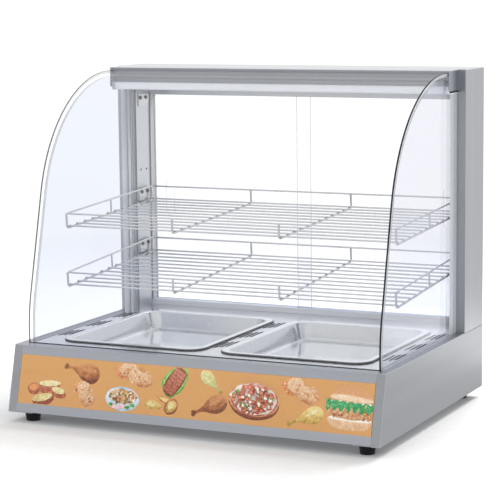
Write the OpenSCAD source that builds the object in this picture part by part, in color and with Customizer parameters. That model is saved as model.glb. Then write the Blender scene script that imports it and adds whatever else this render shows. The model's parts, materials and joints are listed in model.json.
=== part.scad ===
// Curved-glass hot food display case: two food pans, two wire shelves and sliding rear doors.
// X runs left to right, Y front to back, Z up. The origin is the middle of the footprint, on the floor.

/* [Case] */
// Width over the side panels
case_w = 660; // [640:1:680]
// Depth of the base, without the rear knob
case_d = 490; // [485:1:500]
// Height to the top plate
case_h = 571.3; // [565:0.1:578]
// Height of the base top above the floor
deck_z = 126.3; // [124:0.1:130]
// How far the base front leans back over its height
front_lean = 27.5; // [24:0.5:30]
// Thickness of the folded sheet metal
sheet = 1.2; // [1:0.1:1.5]

/* [Glass] */
// Thickness of the front and side glass
glass = 5; // [4:0.5:6]
// Front glass foot behind the base front
glass_y = 46.3; // [45.5:0.1:46.5]
// Radius of the lower bend
bend_low = 270; // [260:5:280]
// Tuck of the foot under the lower bend, in degrees
bend_tuck = 5; // [4:0.5:6]
// Lean of the straight stretch, in degrees from upright
bend_lean = 13.8; // [13:0.1:14.5]
// Radius of the upper bend
bend_top = 250; // [245:1:252]
// Half the width of the front glass
glass_half = 314.5; // [312:0.5:315]
// Step from the front glass outside to the side glass edge
side_inset = 10; // [9:0.5:14]
// Thickness of the sliding door glass
door_glass = 4; // [3:0.5:5]

/* [Pans] */
// Width over one pan rim
pan_w = 264; // [260:1:265]
// Depth over one pan rim
pan_d = 320; // [310:1:322]
// Depth of the pan well below its rim
pan_h = 32; // [25:1:40]
// Distance of a pan's middle from the case middle
pan_x = 146; // [145:0.5:147]
// Pan rim front edge behind the base front
pan_front = 78; // [76:1:80]

/* [Shelves] */
// Front wire plane of both shelves behind the base front
shelf_front = 152; // [150:1:158]
// Rear wire plane of both shelves
shelf_back = 461; // [458:0.5:462]
// Half width over the shelf end wires' middles
shelf_half = 299; // [296:0.5:300]
// Height of the upper shelf's end wires at the front
upper_z = 307; // [300:0.5:315]
// Fall of the upper shelf towards the front, in degrees
upper_fall = 3; // [2:0.1:4]
// Height of the lower shelf's end wires at the front
lower_z = 206; // [200:0.5:212]
// Fall of the lower shelf towards the front, in degrees
lower_fall = 4.1; // [3:0.1:5]
// Height of the guard rail above the end wires
guard_h = 25; // [22:0.5:28]
// Long wires on each shelf
long_wires = 12; // [10:1:14]
// Radius of the long wires
wire_r = 1.5; // [1.3:0.1:1.7]
// Radius of the frame wires
frame_r = 1.9; // [1.7:0.1:2.1]

/* [Columns] */
// Width of a column
column_w = 25; // [24:0.5:27]
// Depth of a column
column_d = 95; // [90:1:96]

/* [Controls] */
// Height of the controls' middles on the rear panel
control_z = 72; // [70:1:76]
// How far the thermostat knob stands out at the rear
knob_out = 20; // [18:1:24]
// Place of the thermostat from the middle
thermostat_x = 210; // [200:1:220]
// Place of the heater switch from the middle
power_x = 90; // [85:1:100]
// Place of the lamp switch from the middle
lamp_x = 40; // [35:1:45]
// Tilt of a rocker either way, in degrees
rocker_tilt = 8; // [6:0.5:9]

/* [Hidden] */
$fn = 64;
bend_fn = 32;
foot_z = 17.3;
half_w = case_w / 2;
side_x = half_w - column_w;
front_y = -(case_d + knob_out) / 2;
column_y = case_d - column_d;
gap = 0.3;
slip = 0.2;
nip = 0.1;
hair = 0.02;
span_half = side_x - slip;

// Base
flange_front = 15;
flange_top = 15;
flange_foot = 45;
flange_rear = 12;
strip_half = half_w - flange_front - slip;
rear_half = half_w - flange_rear - slip;
rear_screw_x = rear_half - 10;
rear_screw_z = [35, 108];
inside_z = foot_z + 2 * sheet + 0.05;
lower_strip_z = 32.6;
upper_strip_z = 111.3;
trough_y = 45;
trough_w = 8;
trough_z = deck_z - 5;
deck_y = trough_y + trough_w + sheet + gap;
panel_t = 3;

// Feet
foot_r = 14;
foot_tip_r = 11.5;
foot_x = 299;
foot_in = 28;

// Rail
rail_half = 318;
rail_z = 532;
rail_end_z = 537;
fascia_y = 346;
fascia_z = 545.5;
fascia_top = case_h - sheet - 0.1;
bead_z = 551.7;
bead_h = 3.4;
trim_set = 2;

// Side glass channel
channel_w = 9;
channel_d = 9;
channel_x = half_w - flange_front - channel_w;
side_glass_x = channel_x + (channel_w - glass) / 2;

// Door tracks
track_y = 466;
track_d = 22;
track_rib = 1.5;
sill_h = 10.4;
track_z = 516.3;
track_h = 13.4;
door_half = 302.5;
door_lap = 11;
pull_in = 30;
door_low = deck_z + 2.5;
door_high = track_z + 9.7;
door_in_y = track_y + track_rib + 2.4;
door_out_y = track_y + track_d - track_rib - 2.4 - door_glass;

// Pans and tank
rim_w = 12;
rim_h = 3;
well_r = 28;
well_draft = 9;
pan_sheet = 1;
open_gap = 2;
tank_half = 306;
tank_flange = 6;
tank_y = 66;
tank_back = 412;
tank_z = 66;
slot_pitch = 95;
slot_len = 52;
slot_w = 4.4;
slot_step = 7;
slot_y = 154;

// Heating element
element_r = 4;
element_x = [165, 250];
element_z = 80;
element_back = 440;

// Shelf brackets
bracket_sheet = 1.2;
bracket_y = 421;
bracket_d = 42;
screw_y = [431, 452];
screw_r = 2;
screw_head_r = 3.6;
screw_rise = 18;
spare_hole_z = 381;
rail_bracket_z = 497;
rail_bracket_h = 23;
rail_screw_z = rail_bracket_z + 15;

// Controls
shaft_r = 3;
running = 0.05;
rocker_w = 12;
rocker_h = 20;
bezel_w = 21;
bezel_h = 30;
pivot_in = 5;
pivot_r = 1.5;
pilot_x = 140;
gland_x = -250;
gland_z = control_z - 20;

// Y of the leaning base front at height z
function lean_y(z) = front_lean * (z - foot_z) / (deck_z - foot_z);
lean_angle = atan(front_lean / (deck_z - foot_z));

// Moves a shape whose Y starts at the base front to the case's own frame
module from_front() {
  translate([0, front_y, 0])
    children();
}

// Extrudes a (Y, Z) outline along X from x0 to x1
module along_x(x0, x1) {
  translate([x0, 0, 0])
    rotate([90, 0, 90])
      linear_extrude(x1 - x0)
        children();
}

// Box from its lowest to its highest corner
module block(low, high) {
  translate(low)
    cube(high - low);
}

// Cylinder along Y from y0 to y1
module pin_y(x, y0, y1, z, r) {
  translate([x, y0, z])
    rotate([-90, 0, 0])
      cylinder(r = r, h = y1 - y0);
}

// Cylinder along X from x0 to x1
module pin_x(x0, x1, y, z, r) {
  translate([x0, y, z])
    rotate([0, 90, 0])
      cylinder(r = r, h = x1 - x0);
}

// Rectangle with round corners, centred, as true arcs
module round_rect(w, d, r) {
  square([w - 2 * r, d], center = true);
  square([w, d - 2 * r], center = true);
  for (sx = [-1, 1], sy = [-1, 1])
    translate([sx * (w / 2 - r), sy * (d / 2 - r)])
      circle(r);
}

// Leaning strip of the base front, from height z0 to z1 and t thick
module lean_strip(z0, z1, t) {
  in = t / cos(lean_angle);
  polygon([[lean_y(z0), z0], [lean_y(z0) + in, z0], [lean_y(z1) + in, z1], [lean_y(z1), z1]]);
}

// ---------- Base ----------

module side_panel() {
  along_x(half_w - sheet, half_w)
    polygon([[0, foot_z], [case_d, foot_z], [case_d, deck_z], [front_lean, deck_z]]);
  along_x(half_w - flange_front, half_w)
    lean_strip(foot_z, deck_z, sheet);
  block([half_w - flange_top, front_lean, deck_z - sheet], [half_w, case_d, deck_z]);
  block([half_w - flange_foot, 1, foot_z], [half_w, case_d - sheet - gap, foot_z + sheet]);
  block([half_w - flange_rear, case_d - sheet, foot_z], [half_w, case_d, deck_z]);
}

// Bolt holes of the two feet on one side
module foot_holes() {
  for (y = [foot_in, case_d - foot_in])
    translate([foot_x, y, 0])
      cylinder(r = 3.1, h = foot_z + 4 * sheet);
}

module base_right_panel() {
  color("silver") from_front()
    difference() {
      side_panel();
      foot_holes();
    }
}

module base_left_panel() {
  color("silver") mirror([1, 0, 0]) from_front()
    difference() {
      side_panel();
      foot_holes();
    }
}

module base_bottom() {
  floor_z = foot_z + sheet;
  color("lightgray") from_front()
    difference() {
      union() {
        block([-half_w + 2 * sheet, 5, floor_z], [half_w - 2 * sheet, case_d - 2 * sheet, floor_z + sheet]);
        block([-strip_half, case_d - 3 * sheet, floor_z], [strip_half, case_d - 2 * sheet, floor_z + 14]);
      }
      foot_holes();
      mirror([1, 0, 0]) foot_holes();
      for (x = [-120, 0, 120], y = [110 : 22 : 220])
        translate([x, y, 0])
          linear_extrude(deck_z)
            round_rect(60, 5, 2.4);
    }
}

module base_rear_panel() {
  color("silver") from_front()
    difference() {
      block([-rear_half, case_d - sheet, foot_z + slip], [rear_half, case_d, deck_z - sheet - slip]);
      pin_y(thermostat_x, case_d - 5, case_d + 5, control_z, 5.2);
      pin_y(pilot_x, case_d - 5, case_d + 5, control_z, 6.1);
      pin_y(gland_x, case_d - 5, case_d + 5, gland_z, 8.1);
      for (x = [power_x, lamp_x])
        block([x - 8.2, case_d - 5, control_z - 12.7], [x + 8.2, case_d + 5, control_z + 12.7]);
      for (x = [-160 : 12 : -40])
        block([x, case_d - 5, control_z - 22], [x + 4, case_d + 5, control_z + 22]);
      for (x = [-rear_screw_x, rear_screw_x], z = rear_screw_z)
        pin_y(x, case_d - 5, case_d + 5, z, screw_r + nip);
    }
}

module front_upper_strip() {
  in = sheet / cos(lean_angle);
  back_y = trough_y + trough_w;
  color("silver") from_front()
    along_x(-strip_half, strip_half)
      polygon([
        [lean_y(upper_strip_z), upper_strip_z],
        [front_lean, deck_z],
        [trough_y, deck_z],
        [trough_y, trough_z],
        [back_y, trough_z],
        [back_y, deck_z],
        [back_y + sheet, deck_z],
        [back_y + sheet, trough_z - sheet],
        [trough_y - sheet, trough_z - sheet],
        [trough_y - sheet, deck_z - sheet],
        [front_lean + in, deck_z - sheet],
        [lean_y(upper_strip_z) + in, upper_strip_z]
      ]);
}

module front_lower_strip() {
  color("silver") from_front()
    along_x(-strip_half, strip_half)
      union() {
        lean_strip(foot_z + sheet + slip, lower_strip_z, sheet);
        translate([lean_y(lower_strip_z), lower_strip_z - sheet])
          square([14, sheet]);
      }
}

module printed_panel() {
  color("orange") from_front()
    along_x(-strip_half + 0.4, strip_half - 0.4)
      lean_strip(lower_strip_z + nip, upper_strip_z - nip, panel_t);
}

// Tube lamp with a holder at each end: half is its half length
module lamp(half, y, z, r, stand_z) {
  pin_x(-half, half, y, z, r);
  for (s = [-1, 1]) {
    pin_x(s * half - 6, s * half + 6, y, z, r + 2.5);
    block([s * half - 4, y - r, min(z, stand_z)], [s * half + 4, y + r, max(z, stand_z)]);
  }
}

module panel_lamp() {
  color("white") from_front()
    lamp(285, 47, 68, 6, foot_z + 2 * sheet);
}

// Row of three short vent slots whose middle is at (x, y)
module slot_group(x, y) {
  for (i = [-1 : 1])
    translate([x + i * slot_step, y + i * slot_step])
      round_rect(slot_w, slot_len, slot_w / 2 - 0.01);
}

module deck_plate() {
  deck_half = half_w - flange_top - slip;
  deck_back = case_d - sheet - gap;
  color("gainsboro") from_front()
    union() {
      translate([0, 0, deck_z - sheet])
        linear_extrude(sheet)
          difference() {
            translate([-deck_half, deck_y])
              square([2 * deck_half, deck_back - deck_y]);
            for (s = [-1, 1])
              translate([s * pan_x, pan_front + pan_d / 2])
                round_rect(pan_w - 2 * rim_w + 2 * open_gap, pan_d - 2 * rim_w + 2 * open_gap, well_r);
            for (x = [-296, 0, 296], k = [0 : 2])
              slot_group(x, slot_y + k * slot_pitch);
          }
      block([-deck_half, deck_y, trough_z - 12], [deck_half, deck_y + sheet, deck_z]);
      block([-strip_half + 3, deck_back - sheet, deck_z - 14], [strip_half - 3, deck_back, deck_z]);
    }
}

module water_tank() {
  top = deck_z - sheet - nip;
  color("silver") from_front()
    difference() {
      union() {
        block([-tank_half, tank_y, tank_z], [tank_half, tank_back, top]);
        block(
          [-tank_half - tank_flange, tank_y - tank_flange, top - sheet],
          [tank_half + tank_flange, tank_back + tank_flange, top]
        );
      }
      block([-tank_half + sheet, tank_y + sheet, tank_z + sheet], [tank_half - sheet, tank_back - sheet, top + 1]);
      for (x = element_x)
        pin_y(x, tank_back - 5, tank_back + 5, element_z, element_r + 3.1);
    }
}

// Tube bend in the plane z = 0 about the origin, from a0 over a degrees
module tube_bend(bend, r, a0, a) {
  rotate([0, 0, a0])
    rotate_extrude(angle = a)
      translate([bend, 0])
        circle(r, $fn = bend_fn);
}

module heating_element() {
  loop = 50;
  turn = 30;
  near_y = 190;
  far_y = near_y + 2 * loop;
  left_x = -200;
  color("dimgray") from_front()
    translate([0, 0, element_z])
      union() {
        translate([left_x, near_y + loop, 0])
          tube_bend(loop, element_r, 90, 180);
        for (leg = [[element_x[1], near_y], [element_x[0], far_y]]) {
          pin_x(left_x, leg[0] - turn, leg[1], 0, element_r);
          translate([leg[0] - turn, leg[1] + turn, 0])
            tube_bend(turn, element_r, -90, 90);
          pin_y(leg[0], leg[1] + turn, element_back, 0, element_r);
          pin_y(leg[0], element_back, element_back + 14, 0, 1.6);
        }
      }
}

module element_bushes() {
  color("black") from_front()
    for (x = element_x)
      difference() {
        union() {
          pin_y(x, tank_back - 4, tank_back + 8, element_z, element_r + 3);
          pin_y(x, tank_back + nip, tank_back + 4, element_z, element_r + 6);
          pin_y(x, tank_back - 5, tank_back - sheet - nip, element_z, element_r + 6);
        }
        pin_y(x, tank_back - 20, tank_back + 20, element_z, element_r + nip);
      }
}

// Pan well of outer size w by d at its top, r round, from the rim down by h
module well(w, d, r, h) {
  hull() {
    linear_extrude(0.5)
      hull()
        round_rect(w, d, r, $fn = bend_fn);
    translate([0, 0, 0.5 - h])
      linear_extrude(0.5)
        hull()
          round_rect(w - 2 * well_draft, d - 2 * well_draft, r, $fn = bend_fn);
  }
}

module pan() {
  w = pan_w - 2 * rim_w;
  d = pan_d - 2 * rim_w;
  translate([0, pan_front + pan_d / 2, deck_z + rim_h])
    difference() {
      union() {
        translate([0, 0, -rim_h])
          linear_extrude(rim_h)
            difference() {
              hull()
                round_rect(pan_w, pan_d, well_r + 4, $fn = bend_fn);
              square([w - 60, d - 60], center = true);
            }
        translate([0, 0, -0.5])
          well(w, d, well_r - open_gap, pan_h - 0.5);
      }
      translate([0, 0, 0.1])
        well(w - 2 * pan_sheet, d - 2 * pan_sheet, well_r - open_gap - pan_sheet, pan_h - pan_sheet);
      translate([0, 0, -rim_h - 0.1])
        linear_extrude(rim_h - pan_sheet)
          difference() {
            hull()
              round_rect(pan_w - 3, pan_d - 3, well_r + 2, $fn = bend_fn);
            hull()
              round_rect(w, d, well_r, $fn = bend_fn);
          }
    }
}

module pan_left() {
  color("lightsteelblue") from_front()
    translate([-pan_x, 0, 0])
      pan();
}

module pan_right() {
  color("lightsteelblue") from_front()
    translate([pan_x, 0, 0])
      pan();
}

// ---------- Frame ----------

// Outline of the right column's section, each side moved in by t
module column_section(t) {
  step = 4;
  step_y = column_y + 21;
  polygon([
    [side_x + step + t, column_y + t],
    [half_w - t, column_y + t],
    [half_w - t, case_d - t],
    [side_x + t, case_d - t],
    [side_x + t, step_y + t],
    [side_x + step + t, step_y + t]
  ]);
}

module column() {
  low = deck_z;
  high = case_h - sheet;
  rib = 1.5;
  difference() {
    union() {
      translate([0, 0, low])
        linear_extrude(high - low)
          difference() {
            column_section(0);
            column_section(sheet);
          }
      for (y = [column_y + 6, column_y + 13])
        block([side_x + 2.5, y, low], [side_x + 4.5, y + rib, rail_z]);
    }
    for (y = screw_y, z = [screw_z(upper_z, upper_fall), screw_z(lower_z, lower_fall),
                           spare_hole_z, rail_screw_z])
      pin_x(side_x - 1, side_x + 2 * sheet, y, z, screw_r + nip);
  }
}

module column_right() {
  color("silver") from_front()
    column();
}

module column_left() {
  color("silver") mirror([1, 0, 0]) from_front()
    column();
}

module side_glass_channel() {
  wall = (channel_w - glass) / 2 - nip;
  low = deck_z;
  high = rail_z - slip;
  difference() {
    block([channel_x, column_y - channel_d, low], [channel_x + channel_w, column_y, high]);
    block([channel_x + wall, column_y - channel_d - 1, low - 1], [channel_x + channel_w - wall, column_y - wall, high + 1]);
  }
}

module side_glass_channel_right() {
  color("whitesmoke") from_front()
    side_glass_channel();
}

module side_glass_channel_left() {
  color("whitesmoke") mirror([1, 0, 0]) from_front()
    side_glass_channel();
}

module top_rail() {
  color("silver") from_front()
    union() {
      block([-half_w, column_y, case_h - sheet], [half_w, case_d, case_h]);
      block([-rail_half, fascia_y, case_h - sheet], [rail_half, column_y + sheet, case_h]);
      block([-span_half, column_y, rail_z], [span_half, column_y + sheet, case_h]);
      block([-span_half, case_d - sheet, rail_z - 14], [span_half, case_d, case_h]);
      for (side = [0, 1])
        mirror([side, 0, 0])
          block([side_x - 1 - sheet, column_y, rail_z], [side_x - 1, case_d, case_h]);
    }
}

module rail_fascia() {
  slot_top = glass_top() + gap;
  slot_low = glass_top() - glass - gap;
  slot_back = fascia_y + 5;
  bead_back = fascia_y + 3;
  back = column_y - slip;
  color("dimgray") from_front() {
    along_x(-rail_half, rail_half)
      polygon([
        [fascia_y, fascia_z],
        [fascia_y, bead_z],
        [bead_back, bead_z],
        [bead_back, bead_z + bead_h],
        [fascia_y, bead_z + bead_h],
        [fascia_y, slot_low],
        [slot_back, slot_low],
        [slot_back, slot_top],
        [fascia_y, slot_top],
        [fascia_y, fascia_top],
        [slot_back + sheet, fascia_top],
        [slot_back + sheet, fascia_z + sheet],
        [back, fascia_z + sheet],
        [back, fascia_z]
      ]);
    for (side = [0, 1])
      mirror([side, 0, 0]) {
        block([rail_half - sheet, fascia_y, rail_end_z], [rail_half, back, fascia_top]);
        block([rail_half - sheet, back - sheet, rail_end_z], [half_w, back, fascia_top]);
      }
  }
}

module rail_bead() {
  color("white") from_front()
    along_x(-rail_half + 1.5, rail_half - 1.5)
      translate([fascia_y + 0.8, bead_z + nip])
        square([2.1, bead_h - 2 * nip]);
}

module rail_lower_trim() {
  back = column_y - slip;
  front = fascia_y + trim_set;
  wall = 1.5;
  half = rail_half - sheet - nip;
  color("gainsboro") from_front()
    along_x(-half, half)
      polygon([
        [front, fascia_z - nip],
        [front + 1.5, rail_z + 2],
        [front + 3.5, rail_z],
        [back, rail_z],
        [back, rail_z + wall],
        [front + 4.5, rail_z + wall],
        [front + 1.5 + wall, rail_z + 3],
        [front + wall, fascia_z - wall],
        [back, fascia_z - wall],
        [back, fascia_z - nip]
      ]);
}

module cabinet_lamp() {
  color("white") from_front()
    lamp(240, 431, 548, 7, case_h - 10);
}

module lamp_reflector() {
  z = case_h - 10;
  color("whitesmoke") from_front()
    along_x(-280, 280)
      polygon([
        [404, z - 14], [412, z], [450, z], [458, z - 14],
        [459, z - 13.4], [450.6, z + 1], [411.4, z + 1], [403, z - 13.4]
      ]);
}

// ---------- Glass ----------

// Middle of the lower bend, end of the lower bend, start and middle of the upper bend, as (Y, Z)
function glass_foot() = [glass_y, trough_z + gap];
function low_mid() = glass_foot() + bend_low * [cos(bend_tuck), sin(bend_tuck)];
function low_end() = low_mid() + bend_low * [-cos(bend_lean), sin(bend_lean)];
function glass_top() = fascia_top - 3.7;
function top_start_z() = glass_top() - bend_top * (1 - sin(bend_lean));
function top_start() = [low_end()[0] + (top_start_z() - low_end()[1]) * tan(bend_lean), top_start_z()];
function top_mid() = top_start() + bend_top * [cos(bend_lean), -sin(bend_lean)];
function on_circle(mid, r, a) = mid + r * [-cos(a), sin(a)];

// Pie slice of a circle about mid, from angle a0 to a1 above the -Y direction
module slice(mid, r, a0, a1) {
  far = 2 * r;
  step = (a1 - a0) / 2;
  intersection() {
    translate(mid)
      circle(r, $fn = 180);
    polygon([mid, on_circle(mid, far, a0), on_circle(mid, far, a0 + step), on_circle(mid, far, a1)]);
  }
}

// Everything behind the front glass line moved in by d, back to back_y, with its foot end turned on by over degrees
module glass_area(d, back_y, over = 0) {
  low_r = bend_low - d;
  top_r = bend_top - d;
  foot = on_circle(low_mid(), low_r, -bend_tuck - over);
  crown = on_circle(top_mid(), top_r, 90);
  slice(low_mid(), low_r, -bend_tuck - over, bend_lean);
  slice(top_mid(), top_r, bend_lean, 90);
  polygon([
    foot,
    [back_y, foot[1]],
    [back_y, crown[1]],
    crown,
    on_circle(top_mid(), top_r, bend_lean),
    on_circle(low_mid(), low_r, bend_lean)
  ]);
}

module front_glass() {
  end_y = fascia_y + 4.5;
  color("lightcyan", 0.4) from_front()
    along_x(-glass_half, glass_half)
      difference() {
        glass_area(0, end_y);
        glass_area(glass, end_y + 1, 1);
      }
}

// Side pane: what lies behind the front sheet, over the deck and under the rail
module side_pane() {
  low = deck_z + nip;
  back = column_y - 2.5;
  rail_low = rail_z - 0.5;
  notch_y = fascia_y - 1.5;
  intersection() {
    glass_area(side_inset, case_d);
    polygon([[0, low], [back, low], [back, rail_low], [notch_y, rail_low], [notch_y, case_h], [0, case_h]]);
  }
}

module side_glass_right() {
  color("lightcyan", 0.4) from_front()
    along_x(side_glass_x, side_glass_x + glass)
      side_pane();
}

module side_glass_left() {
  color("lightcyan", 0.4) mirror([1, 0, 0]) from_front()
    along_x(side_glass_x, side_glass_x + glass)
      side_pane();
}

// ---------- Doors ----------

// Track section with two grooves, h high, open upwards, floor thick at its closed side
module track_section(h, floor) {
  groove = (track_d - 3 * track_rib) / 2;
  difference() {
    square([track_d, h]);
    for (k = [0, 1])
      translate([track_rib + k * (groove + track_rib), floor])
        square([groove, h]);
  }
}

module door_sill() {
  color("gainsboro") from_front()
    along_x(-span_half, span_half)
      translate([track_y, deck_z + nip])
        track_section(sill_h, 1.8);
}

module upper_door_track() {
  color("gainsboro") from_front()
    along_x(-span_half, span_half)
      translate([track_y, track_z + track_h])
        mirror([0, 1])
          track_section(track_h, 1.8);
}

// Glass door from x0 to x1 with its front face at y and a ground finger pull at pull_x on its rear face
module door(x0, x1, y, pull_x) {
  pull_z = (door_low + door_high) / 2;
  pull_w = 16;
  pull_h = 70;
  difference() {
    block([x0, y, door_low], [x1, y + door_glass, door_high]);
    translate([pull_x, y + door_glass + 1, pull_z])
      rotate([90, 0, 0])
        linear_extrude(3)
          round_rect(pull_w, pull_h, pull_w / 2 - nip);
  }
}

module door_left() {
  color("azure", 0.4) from_front()
    door(-door_half, door_lap, door_out_y, -door_half + pull_in);
}

module door_right() {
  color("azure", 0.4) from_front()
    door(-door_lap, door_half, door_in_y, door_half - pull_in);
}

module door_buffer() {
  block([side_x - 2, track_y + 1, deck_z + sill_h + gap], [side_x - nip, case_d - 2, track_z - gap]);
}

module door_buffer_right() {
  color("dimgray") from_front()
    door_buffer();
}

module door_buffer_left() {
  color("dimgray") mirror([1, 0, 0]) from_front()
    door_buffer();
}

// ---------- Shelves ----------

shelf_d = shelf_back - shelf_front;
wire_bend = 6;
post_x = [-shelf_half, -97, 97, shelf_half];

// Puts a flat shelf, with its end wires on z = 0 and its front on y = 0, at its height and fall
module shelf_place(z, fall) {
  translate([0, shelf_front, z])
    rotate([fall, 0, 0])
      children();
}

// Height of a bracket's screws for a shelf at z with its fall
function screw_z(z, fall) = z + (bracket_y + bracket_d / 2 - shelf_front) * tan(fall) + screw_rise;

// Cross wire along Y that turns up into a post at both ends
module cross_wire(x) {
  post = guard_h - wire_bend;
  translate([x, 0, 0]) {
    pin_y(0, wire_bend, shelf_d - wire_bend, 0, frame_r);
    for (end = [0, 1])
      translate([0, end * shelf_d, 0])
        mirror([0, end, 0]) {
          translate([0, wire_bend, wire_bend])
            rotate([0, -90, 0])
              tube_bend(wire_bend, frame_r, 180, 90);
          translate([0, 0, wire_bend])
            cylinder(r = frame_r, h = post, $fn = bend_fn);
        }
  }
}

// Guard rail: a ring of wire with bent corners
module guard_ring() {
  r = 5;
  x = shelf_half - r;
  translate([0, 0, guard_h]) {
    for (y = [0, shelf_d])
      pin_x(-x, x, y, 0, wire_r);
    for (s = [-1, 1]) {
      pin_y(s * shelf_half, r, shelf_d - r, 0, wire_r);
      translate([s * x, r, 0])
        tube_bend(r, wire_r, s > 0 ? -90 : 180, 90);
      translate([s * x, shelf_d - r, 0])
        tube_bend(r, wire_r, s > 0 ? 0 : 90, 90);
    }
  }
}

module shelf_frame() {
  union() {
    for (x = post_x)
      cross_wire(x);
    guard_ring();
    for (s = [-1, 1])
      translate([s * shelf_half, shelf_d / 2, 0])
        cylinder(r = wire_r, h = guard_h, $fn = bend_fn);
  }
}

module shelf_wires() {
  first = wire_bend + 1;
  pitch = (shelf_d - 2 * first) / (long_wires - 1);
  weld = 0.4;
  for (k = [0 : long_wires - 1])
    pin_x(-shelf_half - 1, shelf_half + 1, first + k * pitch, frame_r + wire_r - weld, wire_r);
}

module upper_shelf_frame() {
  color("silver") from_front()
    shelf_place(upper_z, upper_fall)
      shelf_frame();
}

module upper_shelf_wires() {
  color("silver") from_front()
    shelf_place(upper_z, upper_fall)
      shelf_wires();
}

module lower_shelf_frame() {
  color("silver") from_front()
    shelf_place(lower_z, lower_fall)
      shelf_frame();
}

module lower_shelf_wires() {
  color("silver") from_front()
    shelf_place(lower_z, lower_fall)
      shelf_wires();
}

// Right-hand bracket: a plate on the column and a ledge under the shelf's end wire
module bracket(z, fall) {
  plate_x = side_x - bracket_sheet;
  ledge_in = 8;
  rise = bracket_d * tan(fall);
  mid = screw_z(z, fall) - screw_rise;
  low = mid - frame_r - gap - bracket_sheet;
  high = mid + screw_rise + 8;
  y0 = bracket_y;
  y1 = bracket_y + bracket_d;
  difference() {
    union() {
      along_x(plate_x, side_x - hair)
        polygon([[y0, low - rise / 2], [y1, low + rise / 2], [y1, high - 5], [y1 - 5, high], [y0 + 5, high], [y0, high - 5]]);
      along_x(plate_x - ledge_in, side_x - hair)
        polygon([[y0, low - rise / 2], [y1, low + rise / 2], [y1, low + rise / 2 + bracket_sheet], [y0, low - rise / 2 + bracket_sheet]]);
    }
    for (y = screw_y)
      pin_x(plate_x - 1, side_x + 1, y, screw_z(z, fall), screw_r + nip);
  }
}

module upper_bracket_right() {
  color("gainsboro") from_front()
    bracket(upper_z, upper_fall);
}

module upper_bracket_left() {
  color("gainsboro") mirror([1, 0, 0]) from_front()
    bracket(upper_z, upper_fall);
}

module lower_bracket_right() {
  color("gainsboro") from_front()
    bracket(lower_z, lower_fall);
}

module lower_bracket_left() {
  color("gainsboro") mirror([1, 0, 0]) from_front()
    bracket(lower_z, lower_fall);
}

// Plate that ties the column to the rail, right-hand side
module rail_bracket() {
  y0 = bracket_y + 3;
  y1 = bracket_y + bracket_d;
  z0 = rail_bracket_z;
  z1 = rail_bracket_z + rail_bracket_h;
  difference() {
    along_x(side_x - bracket_sheet, side_x - hair)
      polygon([[y0, z0], [y1 - 7, z0], [y1, z0 + 7], [y1, z1], [y0, z1]]);
    for (y = screw_y)
      pin_x(side_x - 3, side_x + 1, y, rail_screw_z, screw_r + nip);
  }
}

module rail_bracket_right() {
  color("gainsboro") from_front()
    rail_bracket();
}

module rail_bracket_left() {
  color("gainsboro") mirror([1, 0, 0]) from_front()
    rail_bracket();
}

// Pan-head screw along +X with its head's inner face at x
module pan_screw(x, y, z) {
  head = 2;
  pin_x(x, x + 7, y, z, screw_r);
  difference() {
    translate([x, y, z])
      rotate([0, -90, 0])
        cylinder(r1 = screw_head_r, r2 = screw_head_r - 0.8, h = head);
    block([x - head - 1, y - 2, z - 0.4], [x - head + 0.8, y + 2, z + 0.4]);
    block([x - head - 1, y - 0.4, z - 2], [x - head + 0.8, y + 0.4, z + 2]);
  }
}

module bracket_screws() {
  x = side_x - bracket_sheet - hair;
  color("gray") from_front()
    for (side = [0, 1])
      mirror([side, 0, 0])
        for (y = screw_y, z = [screw_z(upper_z, upper_fall), screw_z(lower_z, lower_fall),
                               rail_screw_z])
          pan_screw(x, y, z);
}

// ---------- Feet ----------

module foot(x, y) {
  color("black") from_front()
    translate([x, y, 0])
      difference() {
        cylinder(r1 = foot_tip_r, r2 = foot_r, h = foot_z - hair);
        translate([0, 0, -1])
          cylinder(r = 6, h = 5);
        cylinder(r = 3.1, h = foot_z + 1);
      }
}

module foot_front_left() { foot(-foot_x, foot_in); }
module foot_front_right() { foot(foot_x, foot_in); }
module foot_rear_left() { foot(-foot_x, case_d - foot_in); }
module foot_rear_right() { foot(foot_x, case_d - foot_in); }

module foot_bolts() {
  color("gray") from_front()
    for (x = [-foot_x, foot_x], y = [foot_in, case_d - foot_in])
      translate([x, y, 0]) {
        translate([0, 0, 1.5])
          cylinder(r = 5, h = 2.4);
        translate([0, 0, 3])
          cylinder(r = 3, h = inside_z + 4);
        translate([0, 0, inside_z])
          cylinder(r = 5.8, h = 4.5, $fn = 6);
      }
}

// ---------- Controls ----------

module thermostat_body() {
  color("dimgray") from_front()
    difference() {
      union() {
        block([thermostat_x - 20, case_d - 42, control_z - 18], [thermostat_x + 20, case_d - 6, control_z + 18]);
        pin_y(thermostat_x, case_d - 6, case_d + 0.8, control_z, 5);
      }
      pin_y(thermostat_x, case_d - 30, case_d + 5, control_z, shaft_r + running);
    }
}

module dial_plate() {
  color("silver") from_front()
    difference() {
      pin_y(thermostat_x, case_d + hair, case_d + 0.8, control_z, 32);
      pin_y(thermostat_x, case_d - 1, case_d + 2, control_z, 5.2);
    }
}

module thermostat_knob() {
  y0 = case_d + 1.4;
  y1 = case_d + knob_out;
  color("black") from_front()
    union() {
      pin_y(thermostat_x, case_d - 29, y0 + 2, control_z, shaft_r);
      pin_y(thermostat_x, y0, y0 + 4, control_z, 23);
      pin_y(thermostat_x, y0 + 3, y1 - 3, control_z, 16);
      block([thermostat_x - 4, y0 + 3, control_z - 21], [thermostat_x + 4, y1, control_z + 21]);
    }
}

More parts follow.
